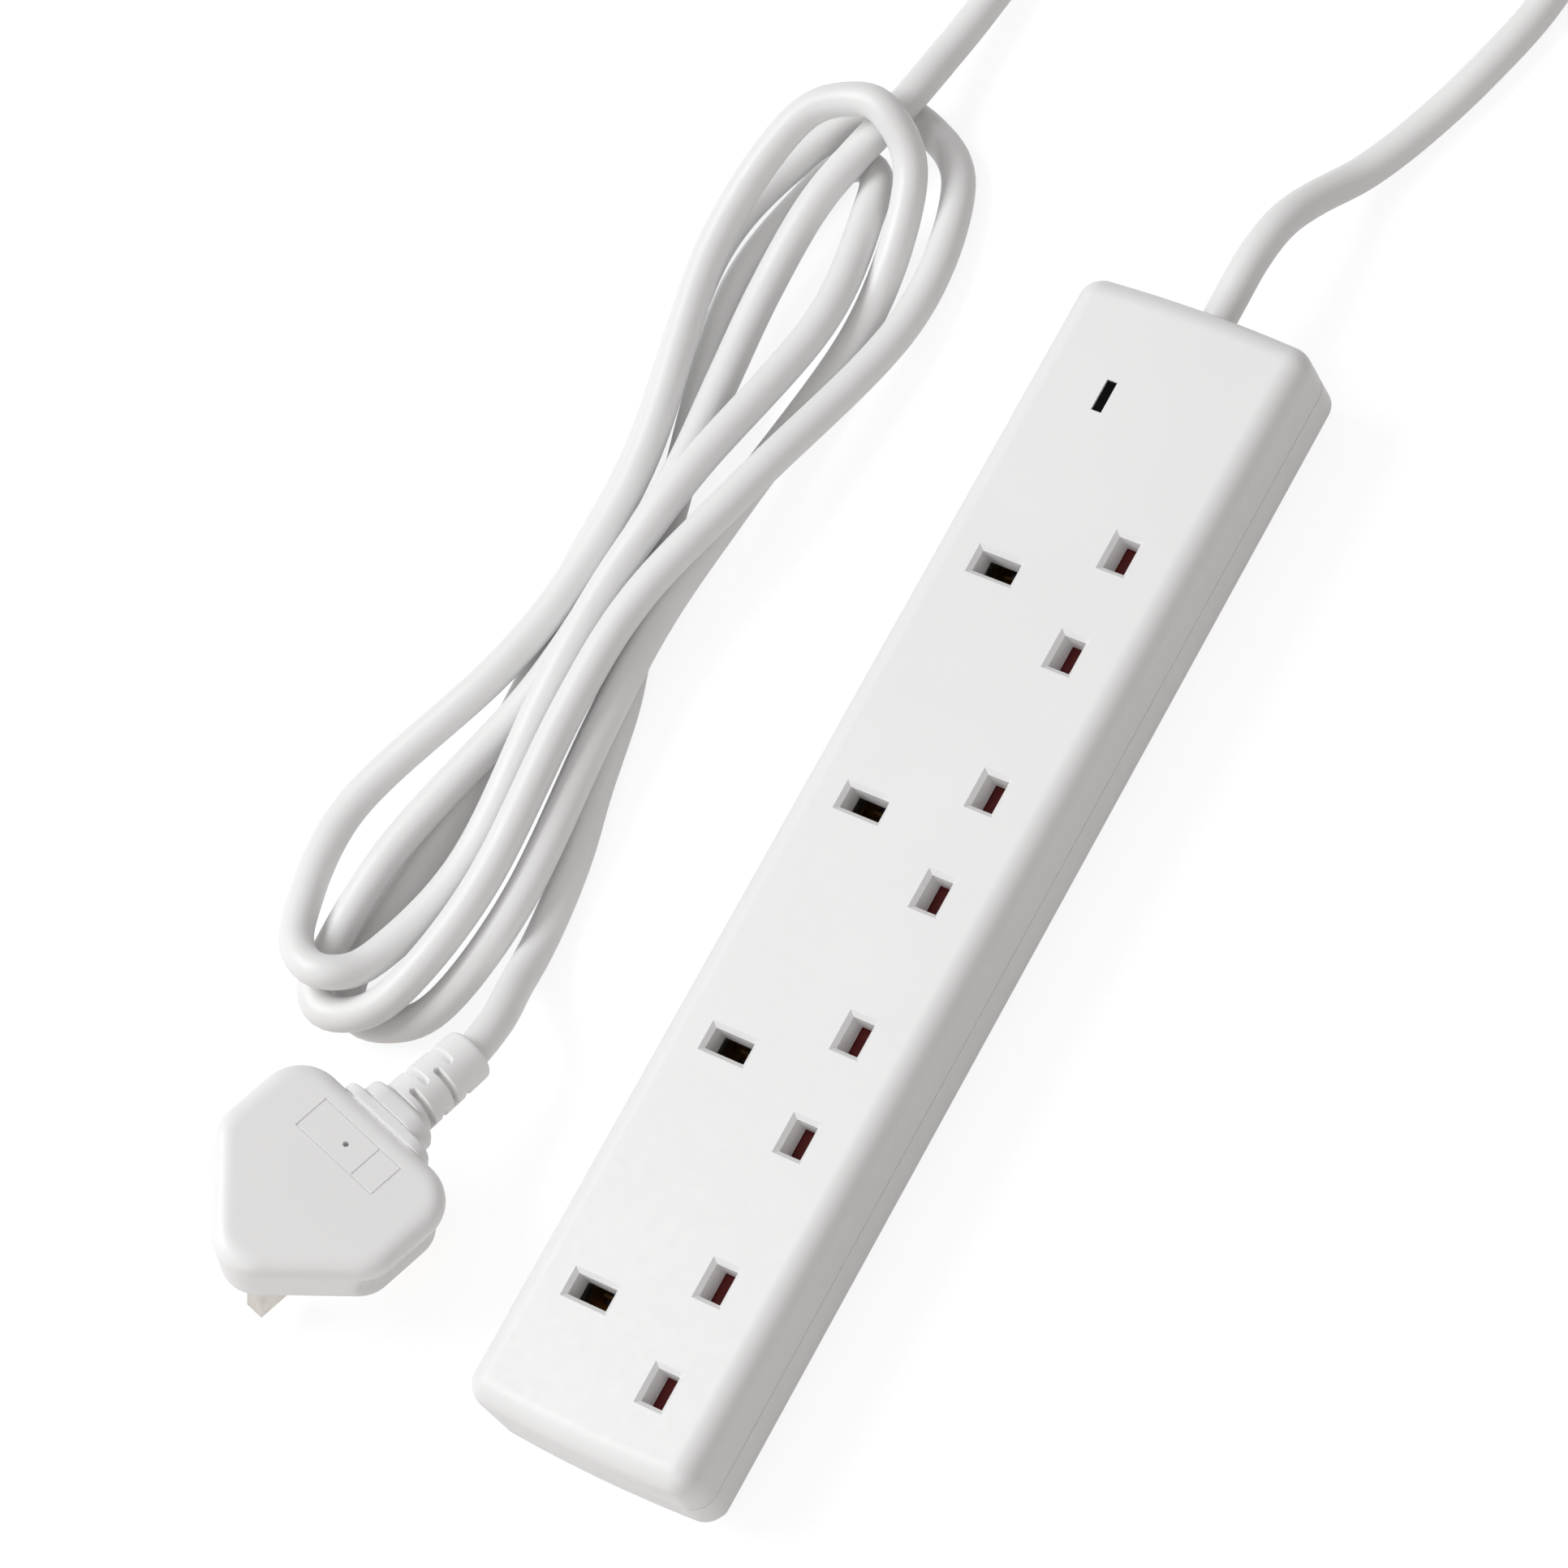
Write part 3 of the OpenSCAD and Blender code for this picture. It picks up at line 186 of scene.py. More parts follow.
def metal(name, low, high, rough, brush=(1, 1, 1), scale=900):
    """Drawn or rolled metal: fine lines along its brush, faint tarnish."""
    s = Shade(name)
    brushed = s.node("Mapping", {"Vector": s.coord, "Scale": brush}).outputs["Vector"]
    lines = s.noise(scale, 4, 0.6, brushed)
    tarnish = s.noise(90, 4)
    return s.set(
        Base_Color=s.ramp(tarnish, low, high),
        Metallic=1.0,
        Roughness=s.value(lines, rough - 0.08, rough + 0.1),
        Normal=s.bump(lines, 0.25, 0.00003),
    )


def matt(name, low, high, rough, scale=500, gloss=0.5):
    """A dull surface between two colours, with a fine grain."""
    s = Shade(name)
    fine = s.noise(scale, 4, 0.6)
    return s.set(
        Base_Color=s.ramp(s.noise(60, 3), low, high),
        Roughness=s.value(fine, rough - 0.06, rough + 0.06),
        Normal=s.bump(fine, 0.3, 0.00004),
        Specular_IOR_Level=gloss,
    )


def glass_lamp():
    """The neon lamp's glass, unlit."""
    s = Shade("neon_glass")
    return s.set(
        Base_Color=s.ramp(s.noise(200, 3), (0.75, 0.45, 0.3), (0.85, 0.6, 0.45)),
        Roughness=s.value(s.noise(500, 2), 0.05, 0.12),
        Specular_IOR_Level=0.6,
    )


MAT = {
    "shell": moulded("shell_plastic", 0.84, 0.42, 0.2),
    "plug": moulded("plug_plastic", 0.9, 0.40, 0.2),
    "flex": flex_material(),
    "shutter": matt("shutter_plastic", (0.11, 0.002, 0.002), (0.14, 0.004, 0.003), 0.55),
    "brass": metal("brass", (0.72, 0.44, 0.16), (0.85, 0.55, 0.22), 0.42, (1, 1, 0.1)),
    "nickel": metal("nickel", (0.5, 0.47, 0.42), (0.66, 0.63, 0.58), 0.36, (1, 1, 0.06)),
    "steel": metal("steel", (0.45, 0.45, 0.46), (0.6, 0.6, 0.62), 0.3),
    "window": matt("window_lens", (0.001, 0.001, 0.001), (0.002, 0.002, 0.002), 0.6, gloss=0.05),
    "lamp": glass_lamp(),
    "ceramic": matt("ceramic", (0.6, 0.56, 0.47), (0.72, 0.68, 0.6), 0.6),
    "sleeve": matt("pin_sleeve", (0.02, 0.02, 0.02), (0.035, 0.035, 0.035), 0.45),
    "core_brown": matt("core_brown", (0.16, 0.06, 0.025), (0.2, 0.08, 0.03), 0.45),
    "core_blue": matt("core_blue", (0.02, 0.09, 0.35), (0.03, 0.12, 0.42), 0.45),
    "core_earth": matt("core_green_yellow", (0.12, 0.32, 0.03), (0.5, 0.5, 0.04), 0.45, 90),
}


for entry in frame["record"]["subparts"]:
    o = frame["nodes"][entry["node"]]
    for s in o.material_slots:
        s.material = MAT[entry["material_slot"]]


# ---- geometry helpers ----


def new_piece(name, verts, faces, slot):
    """A smooth piece of the strip from points in the frame, in metres."""
    mesh = bpy.data.meshes.new(name)
    mesh.from_pydata([tuple(v) for v in verts], [], faces)
    mesh.validate()
    for p in mesh.polygons:
        p.use_smooth = True
    mesh.materials.append(MAT[slot])
    piece = bpy.data.objects.new(name, mesh)
    bpy.context.scene.collection.objects.link(piece)
    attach(piece, "strip")
    return piece


def solid(name, verts, faces, mat=None):
    """A closed piece from points in millimetres, at its own origin."""
    mesh = bpy.data.meshes.new(name)
    mesh.from_pydata([Vector(v) * MM for v in verts], [], faces)
    if mat:
        mesh.materials.append(mat)
    piece = bpy.data.objects.new(name, mesh)
    bpy.context.scene.collection.objects.link(piece)
    return piece


def stand_in(piece, node):
    """Shows a finished piece of the shell or the plug in place of a node."""
    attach(piece, "strip")
    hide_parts(node)
    return piece


def face_outward(piece):
    """Turns every face of a closed piece to its outside."""
    bm = bmesh.new()
    bm.from_mesh(piece.data)
    bmesh.ops.recalc_face_normals(bm, faces=bm.faces)
    bm.to_mesh(piece.data)
    bm.free()


def shade_by_angle(piece, degrees):
    """Smooth faces, with edges sharper than an angle kept crisp."""
    limit = math.radians(degrees)
    bm = bmesh.new()
    bm.from_mesh(piece.data)
    for face in bm.faces:
        face.smooth = True
    for edge in bm.edges:
        edge.smooth = len(edge.link_faces) == 2 and edge.calc_face_angle(0) < limit
    bm.to_mesh(piece.data)
    bm.free()


def combine(piece, other, operation):
    """Cuts a piece by another, or down to it, and drops the other."""
    mod = piece.modifiers.new("combine", "BOOLEAN")
    mod.operation = operation
    mod.solver = "EXACT"
    mod.object = other
    graph = bpy.context.evaluated_depsgraph_get()
    done = bpy.data.meshes.new_from_object(piece.evaluated_get(graph))
    piece.modifiers.clear()
    piece.data = done
    bpy.data.objects.remove(other)


def cut(piece, parts):
    """Takes closed cutters out of a piece that is still at its own origin."""
    for i, (verts, faces) in enumerate(parts):
        combine(piece, solid(f"cutter_{i}", verts, faces), "DIFFERENCE")


def skin(rings):
    """Faces that join closed rings of equal length one to the next."""
    n = len(rings[0])
    return [
        (i * n + k, i * n + (k + 1) % n, (i + 1) * n + (k + 1) % n, (i + 1) * n + k)
        for i in range(len(rings) - 1)
        for k in range(n)
    ]


def closed(rings):
    """Verts and faces of a solid made of rings, closed by a fan at each end."""
    verts = [p for ring in rings for p in ring]
    faces = skin(rings)
    n = len(rings[0])
    for ring, base, flip in ((rings[0], 0, True), (rings[-1], (len(rings) - 1) * n, False)):
        middle = len(verts)
        verts.append(tuple(sum(p[i] for p in ring) / n for i in range(3)))
        for k in range(n):
            a, b = base + k, base + (k + 1) % n
            faces.append((b, a, middle) if flip else (a, b, middle))
    return verts, faces


def slab(x0, y0, x1, y1, z0, z1):
    """Verts and faces of a box."""
    verts = [(x, y, z) for z in (z0, z1) for x, y in ((x0, y0), (x1, y0), (x1, y1), (x0, y1))]
    faces = [(3, 2, 1, 0), (4, 5, 6, 7), (0, 1, 5, 4), (1, 2, 6, 5), (2, 3, 7, 6), (3, 0, 4, 7)]
    return verts, faces


def arc(cx, cy, r, start, end, n):
    """Points of an arc in degrees, without its last."""
    out = []
    for i in range(n):
        a = math.radians(start + (end - start) * i / n)
        out.append((cx + r * math.cos(a), cy + r * math.sin(a)))
    return out


def straight(a, b, n):
    """Points of a straight stretch, without its last."""
    return [(a[0] + (b[0] - a[0]) * i / n, a[1] + (b[1] - a[1]) * i / n) for i in range(n)]


def ease(t):
    """0 to 1 with soft ends."""
    t = min(max(t, 0.0), 1.0)
    return t * t * (3 - 2 * t)


def catmull(a, b, c, d, t):
    """A point between b and c, t of the way, on the curve through four points."""
    return 0.5 * (
        2 * b + (c - a) * t + (2 * a - 5 * b + 4 * c - d) * t * t + (3 * b - a - 3 * c + d) * t**3
    )


def curve(points, steps):
    """A smooth line through points, with so many steps to each stretch."""
    q = [Vector(p) for p in points]
    m = len(q) - 1
    out = []
    for i in range(m):
        a = q[i - 1] if i else 2 * q[0] - q[1]
        d = q[i + 2] if i + 2 <= m else 2 * q[m] - q[m - 1]
        out += [catmull(a, q[i], q[i + 1], d, k / steps) for k in range(steps)]
    return out + [q[m]]


def even(points, step):
    """The same route with its points evenly spaced."""
    out = [points[0].copy()]
    need = step
    for a, b in zip(points, points[1:]):
        length = (b - a).length
        done = 0.0
        while length - done >= need:
            done += need
            out.append(a.lerp(b, done / length))
            need = step
        need -= length - done
    if (out[-1] - points[-1]).length > step / 3:
        out.append(points[-1].copy())
    else:
        out[-1] = points[-1].copy()
    return out


def tube(points, radius, sides):
    """Verts and faces of a round tube along a route, carried without twist."""
    n = len(points)
    tang = [(points[min(i + 1, n - 1)] - points[max(i - 1, 0)]).normalized() for i in range(n)]
    side = tang[0].cross(Vector((0, 0, 1))).normalized()
    verts, faces = [], []
    for i in range(n):
        side = (side - side.dot(tang[i]) * tang[i]).normalized()
        up = tang[i].cross(side)
        for k in range(sides):
            a = 2 * math.pi * k / sides
            verts.append(points[i] + radius * (math.cos(a) * side + math.sin(a) * up))
    for i in range(n - 1):
        for k in range(sides):
            a, b = i * sides + k, i * sides + (k + 1) % sides
            faces.append((a, b, b + sides, a + sides))
    faces.append(tuple(reversed(range(sides))))
    faces.append(tuple(range((n - 1) * sides, n * sides)))
    return verts, faces


# ---- flex ----

CORD_D = 7.0
CORD_SIDES = 28
HALF_L = 126  # half the strip's length, up to the end wall that the flex leaves
EXIT_H = 18
ROUTE_STEPS = 16
FLEX_STEP = 0.0018
SMOOTHINGS = 3
HANK_AT = (33.5, 93.5)
HANK_TURN = math.radians(-3)
RUN_ANGLES = (0, 15, 40, 65, 80, 100, 115, 140, 165)
# Each run: its reach, then the offset across the hank and the height at each angle
RUNS = (
    (-101.5, ((0.8, 10.2), (1.9, 10.4), (9.2, 11.4), (9.2, 10.8), (6.2, 10.5), (-1, 11), (-10.6, 14.6),
              (-15.1, 16.5), (-11.5, 18.2))),
    (119.5, ((-11.3, 18.2), (-17, 15.6), (-22.3, 6), (-14.6, 3.6), (-0.4, 3.6), (10.8, 3.6), (18.1, 3.6),
             (26.1, 3.6), (15.3, 3.6))),
    (-98.5, ((12.5, 3.6), (7.2, 3.6), (6.4, 3.6), (6.8, 3.6), (2.3, 3.6), (-5.7, 4.2), (-16.6, 7.8),
             (-20.8, 11), (-15.7, 11.2))),
    (113.5, ((-12.8, 10.2), (-12.8, 8), (-13.2, 4), (-8.8, 11), (-0.4, 18.8), (7.8, 19.3), (17.2, 18.5),
             (20.5, 14), (10, 11))),
    (-96.5, ((8.3, 10.6), (11.2, 11.5), (22.4, 12), (15.8, 16.6), (8.6, 19), (1.4, 19.4), (-3, 15.2),
             (-7.4, 12.8), (-4, 15.6))),
    (106, ((-3.3, 17.3), (-5.7, 18), (-8.8, 11.5), (-1.3, 6.5), (3.6, 3.8), (9.6, 3.6), (13.7, 3.6),
           (16.7, 3.6), (3.7, 3.6))),
)
WAY_IN = ((133, 2, 8), (118, 2.2, 11.2), (105, 5.2, 11.2), (90, 7.5, 11.2), (70, 7.6, 9), (50, 4.7, 9),
          (30, 0.6, 11), (15, 0.2, 11.2))
WAY_OUT = ((0, -5.7, 3.6), (-9, -9.3, 3.6), (-19, -13.3, 3.6), (-36, -17.9, 3.6), (-48, -21.8, 3.6),
           (-59, -24.3, 3.6), (-70, -26.6, 4.8), (-79, -30, 10), (-87, -34, 15.6))
FLOOR_Z = CORD_D / 2 + 0.1


def place(u, v, z):
    """A point of the hank's own axes, in the frame."""
    c, s = math.cos(HANK_TURN), math.sin(HANK_TURN)
    return (HANK_AT[0] + u * c - v * s, HANK_AT[1] + u * s + v * c, z)


LEAD = (
    (HALF_L, 0, EXIT_H), (HALF_L + 8, 0, EXIT_H), (HALF_L + 16, 0, EXIT_H), (152, -0.7, 16.2),
    (161, -2.5, 11.5), (171, -6, 6), (184, -11, FLOOR_Z), (200, -17, FLOOR_Z), (220, -22, FLOOR_Z),
    (245, -22.5, FLOOR_Z), (268, -14, FLOOR_Z), (285, 4, FLOOR_Z), (291, 28, FLOOR_Z),
    (285, 52, FLOOR_Z), (268, 70, FLOOR_Z), (245, 80, FLOOR_Z), (220, 84.5, FLOOR_Z),
    (195, 86.4, 4.4), place(142, 1.7, 6.6), place(*WAY_IN[0]),
)

# The plug's own frame: x towards the cord, z out of its back, its face at z = 0. Its pins rest on the floor
PLUG_TURN = Euler([math.radians(a) for a in (15, 18, -11)], "XYZ")
PLUG_Z = 23.404
PLUG = Matrix.Translation(Vector((-106, 74, PLUG_Z)) * MM) @ PLUG_TURN.to_matrix().to_4x4()
PLUG_W = 44.4
PLUG_T = 15.5
PLUG_TAPER = 1.6
PLUG_CORD_END = 18.4
PLUG_POINT = 26.8
PLUG_CORNER_R = 9
PLUG_EXIT_H = 10
RELIEF_L = 23.6
RELIEF_D = 11
RELIEF_END = PLUG_CORD_END + RELIEF_L


def in_plug(x, y, z):
    """A point of the plug's own frame in millimetres, in the frame in metres."""
    return PLUG @ (Vector((x, y, z)) * MM)


def flex_route():
    """The points that the flex goes through, from the strip to the plug's strain relief."""
    hank = [place(*p) for p in WAY_IN[1:]]
    for reach, rows in RUNS:
        for angle, (v, z) in zip(RUN_ANGLES, rows):
            hank.append(place(reach * math.sin(math.radians(angle)), v, z))
    hank += [place(*p) for p in WAY_OUT]
    ends = [in_plug(RELIEF_END, 0, PLUG_EXIT_H), in_plug(RELIEF_END - CORD_D, 0, PLUG_EXIT_H)]
    return [Vector(p) * MM for p in (*LEAD, *hank)] + ends


def flex_path():
    """The flex's middle line, straight in its last diameter."""
    line = curve(flex_route(), ROUTE_STEPS)
    path = even(line[:-ROUTE_STEPS] + line[-1:], FLEX_STEP)
    for _ in range(SMOOTHINGS):
        inner = [(a + 2 * b + c) / 4 for a, b, c in zip(path[4:], path[5:], path[6:-4])]
        path[5:5 + len(inner)] = inner
    return path


def make_flex():
    """The whole flex, from the strip to the plug's strain relief."""
    path = flex_path()
    verts, faces = tube(path, CORD_D / 2 * MM, CORD_SIDES)
    flex = new_piece("flex", verts, faces, "flex")
    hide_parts("cord_lead", "cord_hank")


# ---- plug ----

SKIN_T = 3.2
WIRE_TOP = 13.3
SIDE_TOP = 11.9
RIM_TOP = 0.5
DRAW_IN = 3.9  # how far the back's edge is drawn in, over the top of the sides
SIDE_RINGS = 33
EDGE_RINGS = 12


def plug_outline(inset):
    """Outline of the plug, drawn in by inset: the same number of points for every inset."""
    r = PLUG_CORNER_R - inset
    k = PLUG_W / 2 - inset - r
    cx = PLUG_CORD_END - inset - r
    tip = -PLUG_POINT + (inset + r) * math.sqrt(2)
    shoulder = tip + k
    arcs = (
        (cx, -k, -90, 0, 16), (cx, k, 0, 90, 16), (shoulder, k, 90, 135, 10),
        (tip, 0, 135, 225, 16), (shoulder, -k, 225, 270, 10),
    )
    runs = (30, 44, 30, 30, 44)
    out = []
    for i, (x, y, a, b, n) in enumerate(arcs):
        out += arc(x, y, r, a, b, n)
        nx, ny, na = arcs[(i + 1) % 5][:3]
        leave = (x + r * math.cos(math.radians(b)), y + r * math.sin(math.radians(b)))
        meet = (nx + r * math.cos(math.radians(na)), ny + r * math.sin(math.radians(na)))
        out += straight(leave, meet, runs[i])
    return out


SCOOP_X = (3.6, 13.0)  # middle and half length of the finger recess
SCOOP_Z = (5.9, 5.1)
SCOOP_DEPTH = 2.6
SCOOP_SLOPE = (1.8, 3.2)
SCOOP_FADE = (5, 3)


def scooped(x, y, z):
    """Draws a point of the plug's straight sides in where fingers grip it."""
    reach = abs(y) - (PLUG_W / 2 - SCOOP_FADE[0])
    if reach <= 0:
        return x, y, z
    along = ease((1 - abs(x - SCOOP_X[0]) / SCOOP_X[1]) * SCOOP_SLOPE[0])
    up = ease((1 - abs(z - SCOOP_Z[0]) / SCOOP_Z[1]) * SCOOP_SLOPE[1])
    return x, y - math.copysign(SCOOP_DEPTH * along * up * ease(reach / SCOOP_FADE[1]), y), z


def plug_rings():
    """The moulding's rings: up its cavity, round the face's rim, up its sides and over its back."""
    cavity = plug_outline(SKIN_T - 0.1)
    rings = [[(x, y, z) for x, y in cavity] for z in (WIRE_TOP, 9.0, 4.5, 0.0)]
    for z, more in ((0, 0.7), (0.12, 0.3), (RIM_TOP, 0.05)):
        rings.append([(x, y, z) for x, y in plug_outline(PLUG_TAPER + more)])
    for i in range(1, SIDE_RINGS + 1):
        z = RIM_TOP + (SIDE_TOP - RIM_TOP) * i / SIDE_RINGS
        rings.append([scooped(x, y, z) for x, y in plug_outline(PLUG_TAPER * (1 - z / SIDE_TOP))])
    for i in range(1, EDGE_RINGS + 1):
        a = math.radians(90 * i / EDGE_RINGS)
        z = SIDE_TOP + (PLUG_T - SIDE_TOP) * math.sin(a) ** 0.9
        rings.append([(x, y, z) for x, y in plug_outline(DRAW_IN * (1 - math.cos(a)) ** 1.15)])
    flat = plug_outline(DRAW_IN)
    for share in (0.97, 0.85, 0.6, 0.3):
        rings.append([(x * share, y * share, PLUG_T) for x, y in flat])
    return rings


FRAME_X = (5.6, 13.4)
FRAME_Y = (-9.8, 10.4)
FRAME_DIVIDER_Y = -4.2
LINE_W = 0.34
LINE_DEPTH = 0.22
PINHOLE_AT = (9.4, 1.0)
PINHOLE_R = 0.6
PINHOLE_DEPTH = 1.6


def engraving():
    """Cutters for the bare frame and the pinhole in the plug's back."""
    (x0, x1), (y0, y1), h = FRAME_X, FRAME_Y, LINE_W / 2
    low, high = PLUG_T - LINE_DEPTH, PLUG_T + 1
    lines = (
        (x0 - h, y0 - h, x0 + h, y1 + h), (x1 - h, y0 - h, x1 + h, y1 + h),
        (x0 + h, y0 - h, x1 - h, y0 + h), (x0 + h, y1 - h, x1 - h, y1 + h),
        (x0 + h, FRAME_DIVIDER_Y - h, x1 - h, FRAME_DIVIDER_Y + h),
    )
    parts = [slab(*line, low, high) for line in lines]
    hole = [
        [(PINHOLE_AT[0] + x, PINHOLE_AT[1] + y, z) for x, y in arc(0, 0, PINHOLE_R, 0, 360, 20)]
        for z in (PLUG_T - PINHOLE_DEPTH, PLUG_T + 1)
    ]
    return [*parts, closed(hole)]


def make_plug():
    """The plug's moulding, with the bare frame and pinhole in its back."""
    plug = solid("plug_moulding", *closed(plug_rings()), MAT["plug"])
    cut(plug, engraving())
    shade_by_angle(plug, 40)
    plug.data.transform(PLUG)
    return stand_in(plug, "plug_body")


# Half width, half height, corner radius and the height of its middle over the flex's
FLANGE = (10.8, 6.7, 4.2, -1.3)
BLOCK = (8.1, 5.9, 5.0, 0.0)
# Their rings: the distance past the plug, the form, and how far it is drawn in
FORM_RINGS = (
    (-2.6, FLANGE, 1.3), (-0.31, FLANGE, 1.3), (-0.3, FLANGE, 0), (1.2, FLANGE, 0), (1.5, FLANGE, 0.08),
    (1.7, FLANGE, 0.25), (1.8, FLANGE, 0.6), (1.82, BLOCK, 0), (4.5, BLOCK, 0.05), (5.0, BLOCK, 0.2),
    (5.35, BLOCK, 0.5), (5.55, BLOCK, 0.9), (5.62, BLOCK, 1.5),
)


def rounded_reach(size, inset, angle):
    """Distance from the flex's middle to a rounded rectangle at an angle, by halving."""
    a, b, r = size[0] - inset, size[1] - inset, max(size[2] - inset, 0.2)
    dy, dz = math.cos(angle), math.sin(angle)
    low, high = 0.0, 20.0
    for _ in range(26):
        t = (low + high) / 2
        y, z = abs(dy * t) - a + r, abs(dz * t - size[3]) - b + r
        outside = math.hypot(max(y, 0), max(z, 0)) + min(max(y, z), 0) - r
        low, high = (low, t) if outside > 0 else (t, high)
    return low


SLOT_ROWS = 4
SLOT_W = 1.25
SLOT_ARC = 100
SLOT_FLOOR = 4.0
NECK_START = 5.9
NECK_TAPER = 0.45
NECK_STEP = 0.16
SLOTS_FROM = NECK_START + 0.3
COLLAR_L = 4.4
COLLAR_EDGE = 0.9
RELIEF_SIDES = 144
BORE = ((0, 4.1), (0.15, 3.75), (0.5, 3.62), (6, 3.62))  # depth from the collar's end, radius


def neck_reach(x, angle):
    """Radius of the neck at x past the plug, with its slots, each pair turned a quarter."""
    radius = RELIEF_D / 2 + NECK_TAPER * (RELIEF_L - x) / (RELIEF_L - NECK_START)
    pitch = (RELIEF_L - COLLAR_L - NECK_START - 0.5) / SLOT_ROWS
    row = min(int((x - SLOTS_FROM) / pitch), SLOT_ROWS - 1)
    middle = SLOTS_FROM + pitch * (row + 0.5)
    turn = 45 if row % 2 else 135
    degrees = (math.degrees(angle) - turn + 90) % 180 - 90
    across = SLOT_W / 2 - abs(x - middle)
    along = math.radians(SLOT_ARC / 2 - abs(degrees)) * radius
    inside = min(across, along)
    if across < SLOT_W / 2 and along < SLOT_W / 2:
        inside = SLOT_W / 2 - math.hypot(SLOT_W / 2 - across, max(SLOT_W / 2 - along, 0))
    depth = ease((inside + 0.1) / 0.34)
    return radius - (radius - SLOT_FLOOR) * depth


def relief_rings():
    """Rings of the strain relief along the flex: flange, block, slotted neck, collar and bore."""
    angles = [2 * math.pi * k / RELIEF_SIDES for k in range(RELIEF_SIDES)]
    rings = [
        [(x, a, max(rounded_reach(size, inset, a), 4.2)) for a in angles]
        for x, size, inset in FORM_RINGS
    ]
    x, edge = NECK_START, RELIEF_L - COLLAR_EDGE
    while x < edge:
        rings.append([(x, a, neck_reach(x, a)) for a in angles])
        x += NECK_STEP
    for i in range(1, 8):
        b = math.radians(90 * i / 7)
        reach = RELIEF_D / 2 - COLLAR_EDGE * (1 - math.cos(b))
        rings.append([(edge + COLLAR_EDGE * math.sin(b), a, reach) for a in angles])
    for depth, reach in BORE:
        rings.append([(RELIEF_L - depth, a, reach) for a in angles])
    return [
        [(PLUG_CORD_END + x, reach * math.cos(a), PLUG_EXIT_H + reach * math.sin(a)) for x, a, reach in ring]
        for ring in rings
    ]


def make_relief():
    """The strain relief, moulded on where the flex leaves the plug."""
    relief = solid("relief_moulding", *closed(relief_rings()), MAT["plug"])
    face_outward(relief)
    shade_by_angle(relief, 50)
    relief.data.transform(PLUG)
    return stand_in(relief, "plug_strain_relief")


# ---- cover and base ----

BODY_W = 52
BODY_H = 28
PARTING_H = 15.6
WALL = 2.2
TOP_T = 2.4
CORNER_R = 5
COVER_FILLET = 4.8
END_BOW = 1
GROOVE_T, GROOVE_H = 0.25, 0.3  # the line at the joint
LENS_LIP = 1.3
CORD_HOLE_R = CORD_D / 2 + 0.3
UNDER_H = 8.5
UNDER_IN = 4.2
BASE_TRIM = 0.02
BOW_STEPS, CORNER_STEPS, SIDE_STEPS = 24, 14, 60


def cover_rim():
    """Points of the strip's outline seen from above, each with its outward direction."""
    bow_r = ((BODY_W / 2) ** 2 + END_BOW**2) / (2 * END_BOW)
    bow_x = HALF_L - bow_r
    corner_y = BODY_W / 2 - CORNER_R
    corner_x = bow_x + math.sqrt((bow_r - CORNER_R) ** 2 - corner_y**2)
    meet = math.degrees(math.atan2(corner_y, corner_x - bow_x))
    turn_steps, corner = range(CORNER_STEPS), (90 - meet) / CORNER_STEPS
    half = [((bow_x, 0), bow_r, meet * (2 * i / BOW_STEPS - 1)) for i in range(BOW_STEPS)]
    half += [((corner_x, corner_y), CORNER_R, meet + corner * i) for i in turn_steps]
    half += [((corner_x - 2 * corner_x * i / SIDE_STEPS, corner_y), CORNER_R, 90) for i in range(SIDE_STEPS)]
    half += [((-corner_x, corner_y), CORNER_R, 90 + corner * i) for i in turn_steps]
    rim = []
    for turn, flip in ((0, 1), (180, -1)):
        for (x, y), radius, angle in half:
            a = math.radians(angle + turn)
            way = (math.cos(a), math.sin(a))
            rim.append(((x * flip + radius * way[0], y * flip + radius * way[1]), way))
    return rim


def drawn_in(profile):
    """Rings of the strip's outline, one at each height, drawn in by its inset."""
    rim = cover_rim()
    return [[(p[0] - w[0] * inset, p[1] - w[1] * inset, z) for p, w in rim] for z, inset in profile]


def cover_rings():
    """The cover's rings: down its cavity, over the line at its joint, up its sides and over its edge."""
    sides, edge = PARTING_H + GROOVE_H, BODY_H - COVER_FILLET
    profile = [(BODY_H - TOP_T, WALL), (PARTING_H, WALL), (PARTING_H, GROOVE_T)]
    profile += [(sides, GROOVE_T), (sides, 0), (sides + 0.1, 0), (edge - 0.1, 0)]
    for i in range(15):
        a = math.radians(90 * i / 14)
        profile.append((edge + COVER_FILLET * math.sin(a), COVER_FILLET * (1 - math.cos(a))))
    profile.append((BODY_H, CORNER_R - 0.05))
    return drawn_in(profile)


def make_cover():
    """The moulded cover with its round corners. The plates round the apertures are CAD nodes."""
    cover = solid("cover_moulding", *closed(cover_rings()), MAT["shell"])
    face_outward(cover)
    cutters = []
    for number in range(1, 5):
        low, high = (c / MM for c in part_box(f"outlet_face_{number}"))
        cutters.append(slab(low.x, low.y, high.x, high.y, PARTING_H, BODY_H + 1))
    low, high = (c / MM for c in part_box("window_lens"))
    window = (low.x + LENS_LIP, low.y + LENS_LIP, high.x - LENS_LIP, high.y - LENS_LIP)
    cutters.append(slab(*window, PARTING_H, BODY_H + 1))
    hole = arc(0, EXIT_H, CORD_HOLE_R, 0, 360, 40)
    cutters.append(closed([[(HALF_L + x, y, z) for y, z in hole] for x in (-WALL - 1, 2)]))
    cut(cover, cutters)
    shade_by_angle(cover, 35)
    return stand_in(cover, "top_cover")


